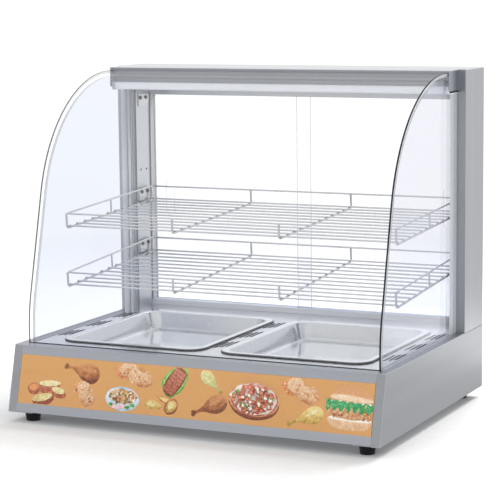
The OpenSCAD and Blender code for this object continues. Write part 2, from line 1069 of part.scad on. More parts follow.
// Switch bezel about x: a frame on the panel and a housing behind it
module bezel(x) {
  difference() {
    union() {
      block([x - bezel_w / 2, case_d + hair, control_z - bezel_h / 2], [x + bezel_w / 2, case_d + 2, control_z + bezel_h / 2]);
      block([x - 8, case_d - 18, control_z - 12.5], [x + 8, case_d + 1, control_z + 12.5]);
    }
    block([x - rocker_w / 2 - 0.4, case_d - 14, control_z - 11.2], [x + rocker_w / 2 + 0.4, case_d + 5, control_z + 11.2]);
    pin_x(x - 7.2, x + 7.2, case_d - pivot_in, control_z, pivot_r + running);
  }
}

// Rocker about x, tipped to its off side
module rocker(x) {
  half = rocker_h / 2;
  translate([0, case_d - pivot_in, control_z])
    rotate([rocker_tilt, 0, 0])
      union() {
        along_x(x - rocker_w / 2, x + rocker_w / 2)
          polygon([[-4, -5], [2, -half], [8, -half], [6, 0], [8, half], [2, half], [-4, 5]]);
        pin_x(x - 7, x + 7, 0, 0, pivot_r);
      }
}

module power_switch_bezel() {
  color("black") from_front()
    bezel(power_x);
}

module power_switch_rocker() {
  color("red") from_front()
    rocker(power_x);
}

module lamp_switch_bezel() {
  color("black") from_front()
    bezel(lamp_x);
}

module lamp_switch_rocker() {
  color("green") from_front()
    rocker(lamp_x);
}

module pilot_lamp() {
  color("orange") from_front()
    union() {
      pin_y(pilot_x, case_d - 20, case_d + 1, control_z, 6);
      translate([pilot_x, case_d + hair, control_z])
        rotate([-90, 0, 0])
          cylinder(r1 = 8, r2 = 6, h = 4);
    }
}

module cord_gland() {
  color("black") from_front()
    difference() {
      union() {
        pin_y(gland_x, case_d - 14, case_d + 2, gland_z, 8);
        pin_y(gland_x, case_d + hair, case_d + 4, gland_z, 11);
        pin_y(gland_x, case_d + 4, case_d + 12, gland_z, 7.5);
        translate([gland_x, case_d - sheet - 0.05, gland_z])
          rotate([90, 0, 0])
            cylinder(r = 12, h = 5, $fn = 6);
      }
      pin_y(gland_x, case_d - 20, case_d + 20, gland_z, 3.8);
    }
}

module terminal_block() {
  block_h = 16;
  color("ivory") from_front()
    difference() {
      block([-215, 440, inside_z], [-150, 460, inside_z + block_h]);
      for (x = [-208 : 10 : -155])
        translate([x, 450, inside_z + 6])
          cylinder(r = 2.5, h = block_h);
    }
}

module rear_panel_screws() {
  color("gray") from_front()
    for (x = [-rear_screw_x, rear_screw_x], z = rear_screw_z)
      translate([x, case_d, z])
        rotate([0, 0, -90])
          pan_screw(-hair, 0, 0);
}

base_left_panel();
base_right_panel();
base_bottom();
base_rear_panel();
front_upper_strip();
front_lower_strip();
printed_panel();
panel_lamp();
deck_plate();
water_tank();
heating_element();
element_bushes();
pan_left();
pan_right();
column_left();
column_right();
side_glass_channel_left();
side_glass_channel_right();
top_rail();
rail_fascia();
rail_bead();
rail_lower_trim();
cabinet_lamp();
lamp_reflector();
front_glass();
side_glass_left();
side_glass_right();
upper_door_track();
door_sill();
door_left();
door_right();
door_buffer_left();
door_buffer_right();
upper_shelf_frame();
upper_shelf_wires();
lower_shelf_frame();
lower_shelf_wires();
upper_bracket_left();
upper_bracket_right();
lower_bracket_left();
lower_bracket_right();
rail_bracket_left();
rail_bracket_right();
bracket_screws();
foot_front_left();
foot_front_right();
foot_rear_left();
foot_rear_right();
foot_bolts();
thermostat_body();
thermostat_knob();
dial_plate();
power_switch_bezel();
power_switch_rocker();
lamp_switch_bezel();
lamp_switch_rocker();
pilot_lamp();
cord_gland();
terminal_block();
rear_panel_screws();
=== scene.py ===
import json
import math
import random

import bpy
from mathutils import Matrix, Vector


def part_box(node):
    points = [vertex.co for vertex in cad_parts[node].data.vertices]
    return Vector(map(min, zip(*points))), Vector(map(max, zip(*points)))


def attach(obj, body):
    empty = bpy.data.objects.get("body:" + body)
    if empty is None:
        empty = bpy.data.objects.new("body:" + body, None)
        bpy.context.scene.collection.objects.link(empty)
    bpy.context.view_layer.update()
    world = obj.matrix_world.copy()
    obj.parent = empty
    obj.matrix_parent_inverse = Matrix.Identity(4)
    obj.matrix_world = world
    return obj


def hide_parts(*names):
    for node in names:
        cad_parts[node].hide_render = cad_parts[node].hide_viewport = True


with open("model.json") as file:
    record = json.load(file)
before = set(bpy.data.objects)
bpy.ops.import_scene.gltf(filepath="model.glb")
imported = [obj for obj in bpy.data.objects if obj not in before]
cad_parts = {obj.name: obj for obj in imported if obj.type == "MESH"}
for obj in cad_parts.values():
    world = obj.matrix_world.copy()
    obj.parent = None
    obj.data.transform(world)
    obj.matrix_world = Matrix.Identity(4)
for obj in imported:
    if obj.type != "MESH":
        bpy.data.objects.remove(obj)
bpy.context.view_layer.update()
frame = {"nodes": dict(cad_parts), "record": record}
NODES = frame["nodes"]
MM = 0.001
SIDES = ("left", "right")


# ---------- Camera, light and floor ----------

CAMERA_AT = Vector((1.361, -2.900, 0.7203))
CAMERA_YAW = math.radians(25.2)
CAMERA_PITCH = math.radians(7.99)
CAMERA_ROLL = math.radians(-0.61)
CAMERA_LENS = 137.98
CAMERA_SENSOR = 36.0

# How bright the room and the floor look in the metals, from behind the camera to behind the case.
ROOM_FRONT = 0.62
ROOM_SIDE = 0.76
ROOM_BACK = 0.95
ROOM_TOP = 0.97
FLOOR_FRONT = 0.68
FLOOR_NEAR = 0.72
FLOOR_BACK = 0.92
# A brighter patch of floor beside the case, seen only in the metals.
GLOW_AT = (0.56, 0.74, 0.0)
GLOW_REACH = 0.36
GLOW = 2.4
# Strength of the plain white that the camera sees beyond the lit floor.
FAR_WHITE = 1.1
FLOOR_HALF = 14.0


def make_camera():
    """Camera at the product shot's angle: to the right of the case's front and a little above it."""
    level = math.cos(CAMERA_PITCH)
    ahead = Vector((
        -math.sin(CAMERA_YAW) * level,
        math.cos(CAMERA_YAW) * level,
        -math.sin(CAMERA_PITCH),
    ))
    flat_right = ahead.cross(Vector((0, 0, 1))).normalized()
    flat_up = flat_right.cross(ahead)
    right = math.cos(CAMERA_ROLL) * flat_right + math.sin(CAMERA_ROLL) * flat_up
    up = math.cos(CAMERA_ROLL) * flat_up - math.sin(CAMERA_ROLL) * flat_right
    turn = Matrix((right, up, -ahead)).transposed().to_4x4()
    data = bpy.data.cameras.new("camera")
    data.lens = CAMERA_LENS
    data.sensor_width = CAMERA_SENSOR
    camera = bpy.data.objects.new("camera", data)
    camera.matrix_world = Matrix.Translation(CAMERA_AT) @ turn
    bpy.context.scene.collection.objects.link(camera)
    bpy.context.scene.camera = camera


def feed(tree, socket, value):
    """Links value to the socket if it is a socket, and sets it otherwise."""
    if isinstance(value, bpy.types.NodeSocket):
        tree.links.new(value, socket)
    else:
        socket.default_value = value


def add(tree, kind, inputs=None, **settings):
    """New shader node with its settings, and its inputs set or linked by name or number."""
    made = tree.nodes.new("ShaderNode" + kind)
    for key, value in settings.items():
        setattr(made, key, value)
    for key, value in (inputs or {}).items():
        feed(tree, made.inputs[key], value)
    return made


def ramp(tree, factor, stops):
    """Colour ramp over factor through stops, each (place, colour or grey)."""
    made = add(tree, "ValToRGB", {"Fac": factor})
    elements = made.color_ramp.elements
    while len(elements) < len(stops):
        elements.new(0.5)
    for element, (place, colour) in zip(elements, stops):
        element.position = place
        element.color = (*colour, 1) if isinstance(colour, tuple) else (colour,) * 3 + (1,)
    return made.outputs["Color"]


def math_node(tree, operation, a, b=0.0):
    """Result of a Math node on two values or sockets."""
    made = add(tree, "Math", operation=operation)
    feed(tree, made.inputs[0], a)
    feed(tree, made.inputs[1], b)
    return made.outputs[0]


def times(tree, a, b):
    """Product of two values or sockets."""
    return math_node(tree, "MULTIPLY", a, b)


def blend_colour(tree, factor, a, b, mode="MIX"):
    """Colour a mixed with colour b by factor; each is a colour or a socket."""
    made = add(tree, "Mix", data_type="RGBA", blend_type=mode)
    feed(tree, made.inputs["Factor"], factor)
    for socket, value in ((made.inputs[6], a), (made.inputs[7], b)):
        feed(tree, socket, (*value, 1) if isinstance(value, tuple) and len(value) == 3 else value)
    return made.outputs[2]


def part(tree, vector, axis):
    """One of a vector's parts: X, Y or Z, or 0, 1 or 2."""
    return add(tree, "SeparateXYZ", {"Vector": vector}).outputs[axis]


def remap(tree, value, low, high, to_low=0.0, to_high=1.0):
    """The value's span from low to high, stretched to go from to_low to to_high, and held there beyond it."""
    span = {"Value": value, "From Min": low, "From Max": high, "To Min": to_low, "To Max": to_high}
    return add(tree, "MapRange", span).outputs[0]


def noise(tree, place, scale, detail=4.0, roughness=0.55, stretch=None):
    """Noise over the place in metres: scale is in lumps a metre, stretch a factor on each axis."""
    source = place
    if stretch:
        source = add(tree, "Mapping", {"Vector": place, "Scale": stretch}).outputs[0]
    inputs = {"Vector": source, "Scale": scale, "Detail": detail, "Roughness": roughness}
    return add(tree, "TexNoise", inputs).outputs["Fac"]


def make_world():
    """White studio: the camera sees plain white, and the metals a room that is darker behind the camera."""
    world = bpy.data.worlds.new("studio")
    world.use_nodes = True
    tree = world.node_tree
    tree.nodes.clear()
    place = add(tree, "TexCoord").outputs["Generated"]
    depth = math_node(tree, "MULTIPLY_ADD", part(tree, place, "Y"), 0.5)
    depth.node.inputs[2].default_value = 0.5
    level = ramp(tree, depth, [(0.0, ROOM_FRONT), (0.5, ROOM_SIDE), (1.0, ROOM_BACK)])
    high = remap(tree, part(tree, place, "Z"), 0.12, 0.6)
    sky = blend_colour(tree, high, level, (ROOM_TOP, ROOM_TOP, ROOM_TOP))
    shaded = add(tree, "Background", {"Color": sky, "Strength": 1.0}).outputs[0]
    plain = add(tree, "Background", {"Color": (1, 1, 1, 1), "Strength": FAR_WHITE}).outputs[0]
    seen = add(tree, "LightPath").outputs["Is Camera Ray"]
    mixed = add(tree, "MixShader", {0: seen, 1: shaded, 2: plain}).outputs[0]
    add(tree, "OutputWorld", {"Surface": mixed})
    bpy.context.scene.world = world


def make_light(name, at, towards, width, height, watts):
    """Area light at a place, turned towards another. Metal and glass mirror the room and not the light."""
    data = bpy.data.lights.new(name, "AREA")
    data.shape = "RECTANGLE"
    data.size = width
    data.size_y = height
    data.energy = watts
    light = bpy.data.objects.new(name, data)
    aim = Vector(towards) - Vector(at)
    light.matrix_world = Matrix.Translation(at) @ aim.to_track_quat("-Z", "Y").to_matrix().to_4x4()
    light.visible_camera = False
    light.visible_transmission = False
    light.visible_glossy = False
    bpy.context.scene.collection.objects.link(light)


def make_floor():
    """Pale floor: lit near the object, plain white far out, and darker in the metals towards the front."""
    mesh = bpy.data.meshes.new("studio_floor")
    corners = [(x * FLOOR_HALF, y * FLOOR_HALF, 0) for x, y in ((-1, -1), (1, -1), (1, 1), (-1, 1))]
    mesh.from_pydata(corners, [], [(0, 1, 2, 3)])
    floor = bpy.data.objects.new("studio_floor", mesh)
    bpy.context.scene.collection.objects.link(floor)
    material = bpy.data.materials.new("studio_floor")
    material.use_nodes = True
    tree = material.node_tree
    place = add(tree, "TexCoord").outputs["Object"]
    grain = noise(tree, place, 60, 3)
    shader = tree.nodes["Principled BSDF"]
    feed(tree, shader.inputs["Base Color"], ramp(tree, grain, [(0.3, 0.77), (0.7, 0.80)]))
    shader.inputs["Roughness"].default_value = 0.9
    shader.inputs["Specular IOR Level"].default_value = 0.0
    reach = add(tree, "VectorMath", {0: place}, operation="LENGTH").outputs["Value"]
    far = remap(tree, reach, 0.8, 2.2)
    white = add(tree, "Emission", {"Color": (1, 1, 1, 1), "Strength": FAR_WHITE}).outputs[0]
    lit = add(tree, "MixShader", {0: far, 1: shader.outputs[0], 2: white}).outputs[0]
    depth = remap(tree, part(tree, place, "Y"), -1.5, 1.5)
    mirrored = ramp(tree, depth, [(0.0, FLOOR_FRONT), (0.4, FLOOR_NEAR), (1.0, FLOOR_BACK)])
    spot = add(tree, "VectorMath", {0: place, 1: GLOW_AT}, operation="DISTANCE").outputs["Value"]
    glow = remap(tree, spot, 0.0, GLOW_REACH, GLOW, 1.0)
    dim = add(tree, "Emission", {"Color": mirrored, "Strength": glow}).outputs[0]
    glossy = add(tree, "LightPath").outputs["Is Glossy Ray"]
    seen = add(tree, "MixShader", {0: glossy, 1: lit, 2: dim}).outputs[0]
    feed(tree, tree.nodes["Material Output"].inputs["Surface"], seen)
    mesh.materials.append(material)


make_camera()
make_world()
make_floor()
make_light("key", (0.35, 1.7, 2.1), (0, 0, 0.1), 1.7, 1.7, 86)
make_light("fill", (-0.6, -2.6, 1.7), (0, 0, 0.25), 1.6, 1.6, 13)
bpy.context.scene.view_settings.view_transform = "Standard"
bpy.context.scene.cycles.transparent_max_bounces = 32


# ---------- Materials ----------

# Share of the colour that painted shade takes away along the seam between a column and the base.
JOINT_SHADE = 0.75
# Heights, in metres, between which the glass's tint goes from its low one to its high one, and how far that
# height wanders.
TINT_FADE_LOW = 0.20
TINT_FADE_HIGH = 0.33
TINT_FADE_DRIFT = 0.05
# Pale band of painted light on the side glass, just ahead of its channel: how solid and how wide it is.
LIT_BAND_SHARE = 0.85
LIT_BAND_WIDTH = 20.5 * MM
GROUND_END_AND_LIT_BAND = (0.66, 0.68, 0.71)
GLASS_IOR = 1.45


def start_material(name):
    """New material, its node tree, its Principled shader and the place of the point in the frame."""
    material = bpy.data.materials.new(name)
    material.use_nodes = True
    tree = material.node_tree
    place = add(tree, "TexCoord").outputs["Object"]
    return material, tree, tree.nodes["Principled BSDF"], place


def crevice(tree, reach, depth):
    """Painted shade: 1 in the open, falling towards 1 - depth where surfaces meet within reach."""
    open_share = add(tree, "AmbientOcclusion", {"Distance": reach}, samples=4).outputs["AO"]
    return remap(tree, open_share, 0.35, 0.85, 1 - depth, 1.0)


def edge_mask(tree, radius):
    """0 on flats, rising to 1 at the edges within radius, and the normal rounded over them."""
    rounded = add(tree, "Bevel", {"Radius": radius}, samples=4).outputs["Normal"]
    flat = add(tree, "NewGeometry").outputs["Normal"]
    same = add(tree, "VectorMath", {0: rounded, 1: flat}, operation="DOT_PRODUCT").outputs["Value"]
    off = math_node(tree, "SUBTRACT", 1.0, same)
    return remap(tree, off, 0.002, 0.12), rounded


def brushed_metal(
    name, colour, roughness, along, streak=0.1, smudge=0.05, edge=0.25, bump=0.08,
    crevice_shade=0.6, upright_shade=1.0, edge_band_width=0.8, joint=None,
):
    """Brushed sheet metal whose grain runs along an axis: 0 for X, 1 for Y, 2 for Z.

    streak and smudge are how much its colour varies. Its edges are lighter by edge over edge_band_width mm,
    by rubbing and by painted highlight, and its corners darker by crevice_shade, as painted shade.
    upright_shade is the painted shade on its upright faces, such as the walls of slots, and joint is the (Y,
    Z) where painted shade along a seam with the part above begins.
    """
    material, tree, shader, place = start_material(name)
    stretch = [1.0, 1.0, 1.0]
    stretch[along] = 0.012
    grain = noise(tree, place, 900, 5, 0.6, stretch)
    bands = noise(tree, place, 60, 4, 0.5, stretch)
    cloud = noise(tree, place, 9, 3)
    dark = tuple(c * (1 - streak) for c in colour)
    light = tuple(min(1.0, c * (1 + streak)) for c in colour)
    base = blend_colour(tree, grain, dark, light)
    banded = blend_colour(tree, 0.35, base, ramp(tree, bands, [(0.3, dark), (0.7, light)]))
    clouded = blend_colour(tree, smudge, banded, ramp(tree, cloud, [(0.35, 0.35), (0.65, 1.0)]), "MULTIPLY")
    # Edges lightened by rubbing and by painted highlight.
    mask, rounded = edge_mask(tree, edge_band_width * MM)
    bright = tuple(min(1.0, c * 1.5 + 0.1) for c in colour)
    rubbed_and_highlit = times(tree, mask, edge)
    # Painted shade: the colour darkens where surfaces meet.
    shade = crevice(tree, 4 * MM, crevice_shade)
    # Painted shade on the upright faces, such as the walls of slots.
    if upright_shade < 1.0:
        normal = add(tree, "NewGeometry").outputs["True Normal"]
        flat = math_node(tree, "GREATER_THAN", math_node(tree, "ABSOLUTE", part(tree, normal, "Z")), 0.5)
        shade = times(tree, shade, math_node(tree, "MAXIMUM", flat, upright_shade))
    # Painted shade along the seam under the part above.
    if joint:
        behind = math_node(tree, "GREATER_THAN", part(tree, place, "Y"), joint[0])
        above = math_node(tree, "GREATER_THAN", part(tree, place, "Z"), joint[1])
        seam = times(tree, times(tree, behind, above), JOINT_SHADE)
        shade = times(tree, shade, math_node(tree, "SUBTRACT", 1.0, seam))
    edged = blend_colour(tree, rubbed_and_highlit, clouded, bright)
    feed(tree, shader.inputs["Base Color"], blend_colour(tree, 1.0, edged, shade, "MULTIPLY"))
    shader.inputs["Metallic"].default_value = 1.0
    fine = times(tree, grain, 0.6)
    coarse = times(tree, cloud, 0.4)
    mixed = math_node(tree, "ADD", fine, coarse)
    rough = remap(tree, mixed, 0.3, 0.7, max(0.02, roughness - 0.06), roughness + 0.06)
    feed(tree, shader.inputs["Roughness"], rough)
    lines = add(tree, "Bump", {"Strength": bump, "Distance": 0.05 * MM, "Height": grain, "Normal": rounded})
    feed(tree, shader.inputs["Normal"], lines.outputs[0])
    return material


def polished_steel(name, colour, roughness, metallic=1.0):
    """Pressed and polished steel: near a mirror, with the slow waves of pressing and fine wipe marks."""
    material, tree, shader, place = start_material(name)
    waves = noise(tree, place, 16, 2)
    scuffs = noise(tree, place, 420, 5, 0.65, (1.0, 0.08, 1.0))
    dark = tuple(c * 0.93 for c in colour)
    scuffed = blend_colour(tree, scuffs, dark, colour)
    # Painted shade: the colour darkens where surfaces meet.
    shaded = blend_colour(tree, 1.0, scuffed, crevice(tree, 3 * MM, 0.7), "MULTIPLY")
    feed(tree, shader.inputs["Base Color"], shaded)
    shader.inputs["Metallic"].default_value = metallic
    rough = remap(tree, scuffs, 0.35, 0.7, roughness * 0.6, roughness * 1.5)
    feed(tree, shader.inputs["Roughness"], rough)
    height = math_node(tree, "ADD", waves, times(tree, scuffs, 0.01))
    skin = add(tree, "Bump", {"Strength": 0.25, "Distance": 0.5 * MM, "Height": height})
    feed(tree, shader.inputs["Normal"], skin.outputs[0])
    return material


def plastic(name, colour, roughness, speckle=0.06, lumps=1500, bump=0.15, coat=0.0, specular=0.5):
    """Moulded plastic, rubber or enamel with a fine grain, slight colour drift, and edges lightened by
    rubbing and by painted highlight.
    """
    material, tree, shader, place = start_material(name)
    grain = noise(tree, place, lumps, 3)
    cloud = noise(tree, place, 30, 3)
    dark = tuple(c * (1 - speckle) for c in colour)
    light = tuple(min(1.0, c * (1 + speckle) + 0.004) for c in colour)
    base = blend_colour(tree, cloud, dark, light)
    # Edges lightened by rubbing and by painted highlight.
    mask, rounded = edge_mask(tree, 0.6 * MM)
    rubbed_and_highlit = times(tree, mask, 0.3)
    pale = tuple(min(1.0, c * 1.2 + 0.03) for c in colour)
    feed(tree, shader.inputs["Base Color"], blend_colour(tree, rubbed_and_highlit, base, pale))
    rough = remap(tree, grain, 0.3, 0.7, max(0.02, roughness - 0.07), roughness + 0.07)
    feed(tree, shader.inputs["Roughness"], rough)
    shader.inputs["Coat Weight"].default_value = coat
    shader.inputs["Specular IOR Level"].default_value = specular
    skin = add(tree, "Bump", {"Strength": bump, "Distance": 0.08 * MM, "Height": grain, "Normal": rounded})
    feed(tree, shader.inputs["Normal"], skin.outputs[0])
    return material


def sheet_glass(name, low_tint, high_tint, gloss, edge_colour, edges):
    """Thin sheet glass, lightly mirroring, with wipe marks in its gloss and a tint that goes from low_tint
    low down to high_tint higher up.

    edges(tree, place) gives how solid the glass looks on its ends, and how far it takes the pale colour of
    its ground ends and of its band of painted light there.
    """
    material, tree, shader, place = start_material(name)
    drift = noise(tree, place, 7, 3)
    wipes = noise(tree, place, 14, 4, 0.6, (1.0, 1.0, 0.35))
    grit = noise(tree, place, 700, 3)
    wander = times(tree, drift, TINT_FADE_DRIFT)
    lifted = math_node(tree, "ADD", part(tree, place, "Z"), wander)
    tint = blend_colour(tree, remap(tree, lifted, TINT_FADE_LOW, TINT_FADE_HIGH), low_tint, high_tint)
    clear = add(tree, "BsdfTransparent", {"Color": tint}).outputs[0]
    haze = remap(tree, wipes, 0.45, 0.75, 0.01, 0.05)
    mirror = add(tree, "BsdfGlossy", {"Color": (1, 1, 1, 1), "Roughness": haze}).outputs[0]
    leaving = add(tree, "NewGeometry").outputs["Backfacing"]
    density = remap(tree, leaving, 0.0, 1.0, GLASS_IOR, 1 / GLASS_IOR)
    grazing = times(tree, add(tree, "Fresnel", {"IOR": density}).outputs[0], gloss)
    pane = add(tree, "MixShader", {0: grazing, 1: clear, 2: mirror}).outputs[0]
    solid, lightness = edges(tree, place)
    # The solid parts take the edge colour: the panes' own edges, and the painted shade lines of the bent
    # front sheet.
    dark = tuple(c * 0.8 for c in edge_colour)
    edge_and_dark_line = blend_colour(tree, grit, dark, edge_colour)
    feed(tree, shader.inputs["Base Color"], blend_colour(tree, lightness, edge_and_dark_line, GROUND_END_AND_LIT_BAND))
    shader.inputs["Roughness"].default_value = 0.5
    shader.inputs["Specular IOR Level"].default_value = 0.2
    ground = add(tree, "Bump", {"Strength": 0.3, "Distance": 0.05 * MM, "Height": grit})
    feed(tree, shader.inputs["Normal"], ground.outputs[0])
    surface = add(tree, "MixShader", {0: solid, 1: pane, 2: shader.outputs[0]}).outputs[0]
    feed(tree, tree.nodes["Material Output"].inputs["Surface"], surface)
    return material


def outward(tree, geometry, leaning):
    """leaning, measured on the True Normal, as it is on the normal that points out of the solid.

    The renderer turns the True Normal towards the viewer on back faces.
    """
    sign = remap(tree, geometry.outputs["Backfacing"], 0.0, 1.0, 1.0, -1.0)
    return times(tree, leaning, sign)


def faces_along(axis, share):
    """Edges of a flat pane whose faces look along the axis."""
    def find(tree, place):
        across = part(tree, add(tree, "NewGeometry").outputs["True Normal"], axis)
        edge = math_node(tree, "LESS_THAN", math_node(tree, "ABSOLUTE", across), 0.6)
        return times(tree, edge, share), 0.0
    return find


def channelled(axis, share, lit_band_from):
    """Edges of a flat pane, with a pale band of painted light on its face along +axis, from lit_band_from
    backwards.
    """
    def find(tree, place):
        bare = faces_along(axis, share)(tree, place)[0]
        geometry = add(tree, "NewGeometry")
        across = part(tree, geometry.outputs["True Normal"], axis)
        right_face = math_node(tree, "GREATER_THAN", outward(tree, geometry, across), 0.5)
        # Painted light: a pale band on the face, just ahead of the channel.
        behind = math_node(tree, "GREATER_THAN", part(tree, place, "Y"), lit_band_from)
        lit_band = times(tree, behind, right_face)
        return math_node(tree, "MAXIMUM", bare, times(tree, lit_band, LIT_BAND_SHARE)), lit_band
    return find


def bent_ends(half, left_band, right_band, inner_band):
    """Ends of the bent front sheet: pale ground ends, and a dark line on its outer face and a fine one
    inside, both painted shade.

    The bands are the widths of those lines, and half is half the sheet's width.
    """
    def find(tree, place):
        across = part(tree, place, "X")
        geometry = add(tree, "NewGeometry")
        normal = geometry.outputs["True Normal"]
        sideways = math_node(tree, "ABSOLUTE", part(tree, normal, "X"))
        end_face = math_node(tree, "GREATER_THAN", sideways, 0.6)
        towards = add(tree, "VectorMath", {0: normal, 1: (0, -0.7, 0.7)}, operation="DOT_PRODUCT")
        outer = math_node(tree, "GREATER_THAN", outward(tree, geometry, towards.outputs["Value"]), 0.0)
        left_line = times(tree, math_node(tree, "LESS_THAN", across, left_band - half), 0.8)
        right_line = math_node(tree, "GREATER_THAN", across, half - right_band)
        outer_line = times(tree, outer, math_node(tree, "MAXIMUM", left_line, right_line))
        at_edge = math_node(tree, "GREATER_THAN", across, half - inner_band)
        inner_line = times(tree, at_edge, 0.75)
        line = math_node(tree, "MAXIMUM", outer_line, inner_line)
        on_faces = times(tree, math_node(tree, "SUBTRACT", 1.0, end_face), line)
        solid = math_node(tree, "ADD", on_faces, times(tree, end_face, 0.55))
        return solid, end_face
    return find


def ink(name, dark, middle, light, lumps=260, shade=0.5):
    """Printed colour under the panel's acrylic: speckled, and darker by shade towards its piece's bottom."""
    material, tree, shader, place = start_material(f"ink_{name}")
    speck = noise(tree, place, lumps, 5, 0.7)
    height = part(tree, add(tree, "TexCoord").outputs["Generated"], "Z")
    lean = times(tree, math_node(tree, "SUBTRACT", height, 0.5), 0.5 * shade)
    tone = math_node(tree, "ADD", speck, lean)
    feed(tree, shader.inputs["Base Color"], ramp(tree, tone, [(0.32, dark), (0.5, middle), (0.68, light)]))
    smooth = noise(tree, place, 90, 2)
    feed(tree, shader.inputs["Roughness"], remap(tree, smooth, 0.0, 1.0, 0.25, 0.35))
    return material


def paint(material, *names):
    """Gives the CAD nodes of these names the material."""
    for name in names:
        mesh = NODES[name].data
        mesh.materials.clear()
        mesh.materials.append(material)


STEEL = (0.51, 0.535, 0.58)
# Where the painted shade along the seam under each column begins.
COLUMN_FOOT = (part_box("column_right")[0].y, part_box("base_right_panel")[1].z - 1.1 * MM)

paint(brushed_metal("front_strip_steel", STEEL, 0.36, 0), "front_upper_strip", "front_lower_strip")
# The side panels' edges are strongly lightened, by rubbing and by painted highlight.
paint(
    brushed_metal("side_panel_steel", (0.44, 0.455, 0.48), 0.38, 1, edge=1.0, edge_band_width=1.5, joint=COLUMN_FOOT),
    "base_left_panel", "base_right_panel",
)
# The two columns are the same steel: the left one is painted lighter and the right one darker, as painted
# light and shade.
paint(brushed_metal("column_steel_painted_lighter", (0.69, 0.71, 0.745), 0.36, 2, crevice_shade=0.0), "column_left")
paint(brushed_metal("column_steel_painted_darker", (0.465, 0.48, 0.505), 0.36, 2, crevice_shade=0.0), "column_right")
paint(brushed_metal("top_rail_steel", (0.80, 0.81, 0.83), 0.36, 0, crevice_shade=0.3), "top_rail")
paint(brushed_metal("fascia_steel", (0.42, 0.435, 0.475), 0.34, 0, 0.04, crevice_shade=0.0), "rail_fascia")
paint(brushed_metal("light_trim_steel", (0.66, 0.68, 0.72), 0.32, 0), "lamp_reflector")
# Pale non-metal for the lower trim and the door sill.
paint(
    plastic("pale_trim", (0.78, 0.80, 0.84), 0.3, 0.03, 700, 0.03, coat=0.2),
    "rail_lower_trim", "door_sill",
)
paint(
    plastic("channel_enamel", (0.52, 0.54, 0.58), 0.35, 0.03, 700, 0.03),
    "side_glass_channel_left", "side_glass_channel_right",
)
paint(plastic("bead_enamel", (0.23, 0.24, 0.265), 0.3, 0.03, 700, 0.03, coat=0.2), "rail_bead")
paint(brushed_metal("hidden_steel", (0.42, 0.43, 0.45), 0.42, 0), "base_bottom", "base_rear_panel")
# The tank is painted near black, as painted shade, so that the deck's slots look dark.
paint(brushed_metal("tank_steel_painted_shade", (0.06, 0.06, 0.065), 0.5, 0), "water_tank")
# The walls of the deck's slots are painted almost black, as painted shade.
paint(brushed_metal("deck_steel", (0.88, 0.89, 0.915), 0.20, 0, 0.05, crevice_shade=0.3, upright_shade=0.02), "deck_plate")
PAN_STEEL = polished_steel("pan_steel", (0.95, 0.96, 0.985), 0.11, 0.78)
# The pans' walls are the pan steel painted darker, as painted shade.
PAN_WALL_SHADE = polished_steel("pan_wall_steel_painted_shade", (0.74, 0.755, 0.78), 0.2)
# The rolled edge is the pan steel painted dark, as painted shade and painted reflection.
PAN_EDGE_SHADE = polished_steel("pan_rolled_edge_painted_shade", (0.22, 0.225, 0.24), 0.2)
paint(
    brushed_metal("anodised_aluminium", (0.74, 0.755, 0.78), 0.30, 0, crevice_shade=0.0),
    "upper_door_track", "dial_plate",
)
paint(
    brushed_metal("bracket_steel", (0.70, 0.71, 0.73), 0.3, 1),
    *[f"{level}_bracket_{side}" for level in ("upper", "lower", "rail") for side in SIDES],
)
paint(
    brushed_metal("screw_steel", (0.25, 0.25, 0.26), 0.35, 0),
    "bracket_screws", "foot_bolts", "rear_panel_screws",
)
paint(
    brushed_metal(
        "bright_wire", (0.78, 0.79, 0.81), 0.24, 0,
        streak=0.03, smudge=0.1, edge=0.2, bump=0.02, crevice_shade=0.3,
    ),
    *[f"{level}_shelf_{kind}" for level in ("upper", "lower") for kind in ("frame", "wires")],
)
paint(brushed_metal("element_sheath", (0.20, 0.18, 0.17), 0.45, 0), "heating_element")
paint(plastic("panel_print_ground", (0.655, 0.335, 0.115), 0.25, 0.03, 900, 0.02, coat=0.4), "printed_panel")
paint(plastic("lamp_glass", (0.86, 0.86, 0.83), 0.15, 0.02, 400, 0.02), "panel_lamp", "cabinet_lamp")
BLACK_PLASTIC = plastic("black_plastic", (0.018, 0.018, 0.02), 0.42)
paint(
    BLACK_PLASTIC,
    "element_bushes", "thermostat_body", "power_switch_bezel", "lamp_switch_bezel", "cord_gland",
)
# Mid-grey strips on the columns' inner faces.
paint(plastic("grey_rubber", (0.46, 0.465, 0.48), 0.6), "door_buffer_left", "door_buffer_right")
paint(
    plastic("foot_rubber", (0.004, 0.004, 0.005), 0.6, specular=0.2),
    *[f"foot_{end}_{side}" for end in ("front", "rear") for side in SIDES],
)
paint(plastic("red_plastic", (0.55, 0.02, 0.015), 0.25), "power_switch_rocker")
paint(plastic("green_plastic", (0.02, 0.30, 0.06), 0.25), "lamp_switch_rocker")
paint(plastic("amber_plastic", (0.80, 0.28, 0.02), 0.2), "pilot_lamp")
paint(plastic("glazed_ceramic", (0.78, 0.75, 0.68), 0.2), "terminal_block")
FRONT_ENDS = bent_ends(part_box("front_glass")[1].x, 2.6 * MM, 3.0 * MM, 1.1 * MM)
CLEAR = (0.998, 0.999, 1.0)
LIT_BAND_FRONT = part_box("side_glass_channel_right")[0].y - LIT_BAND_WIDTH
SIDE_ENDS = channelled(0, 0.5, LIT_BAND_FRONT)
SIDE_EDGE = (0.42, 0.44, 0.48)
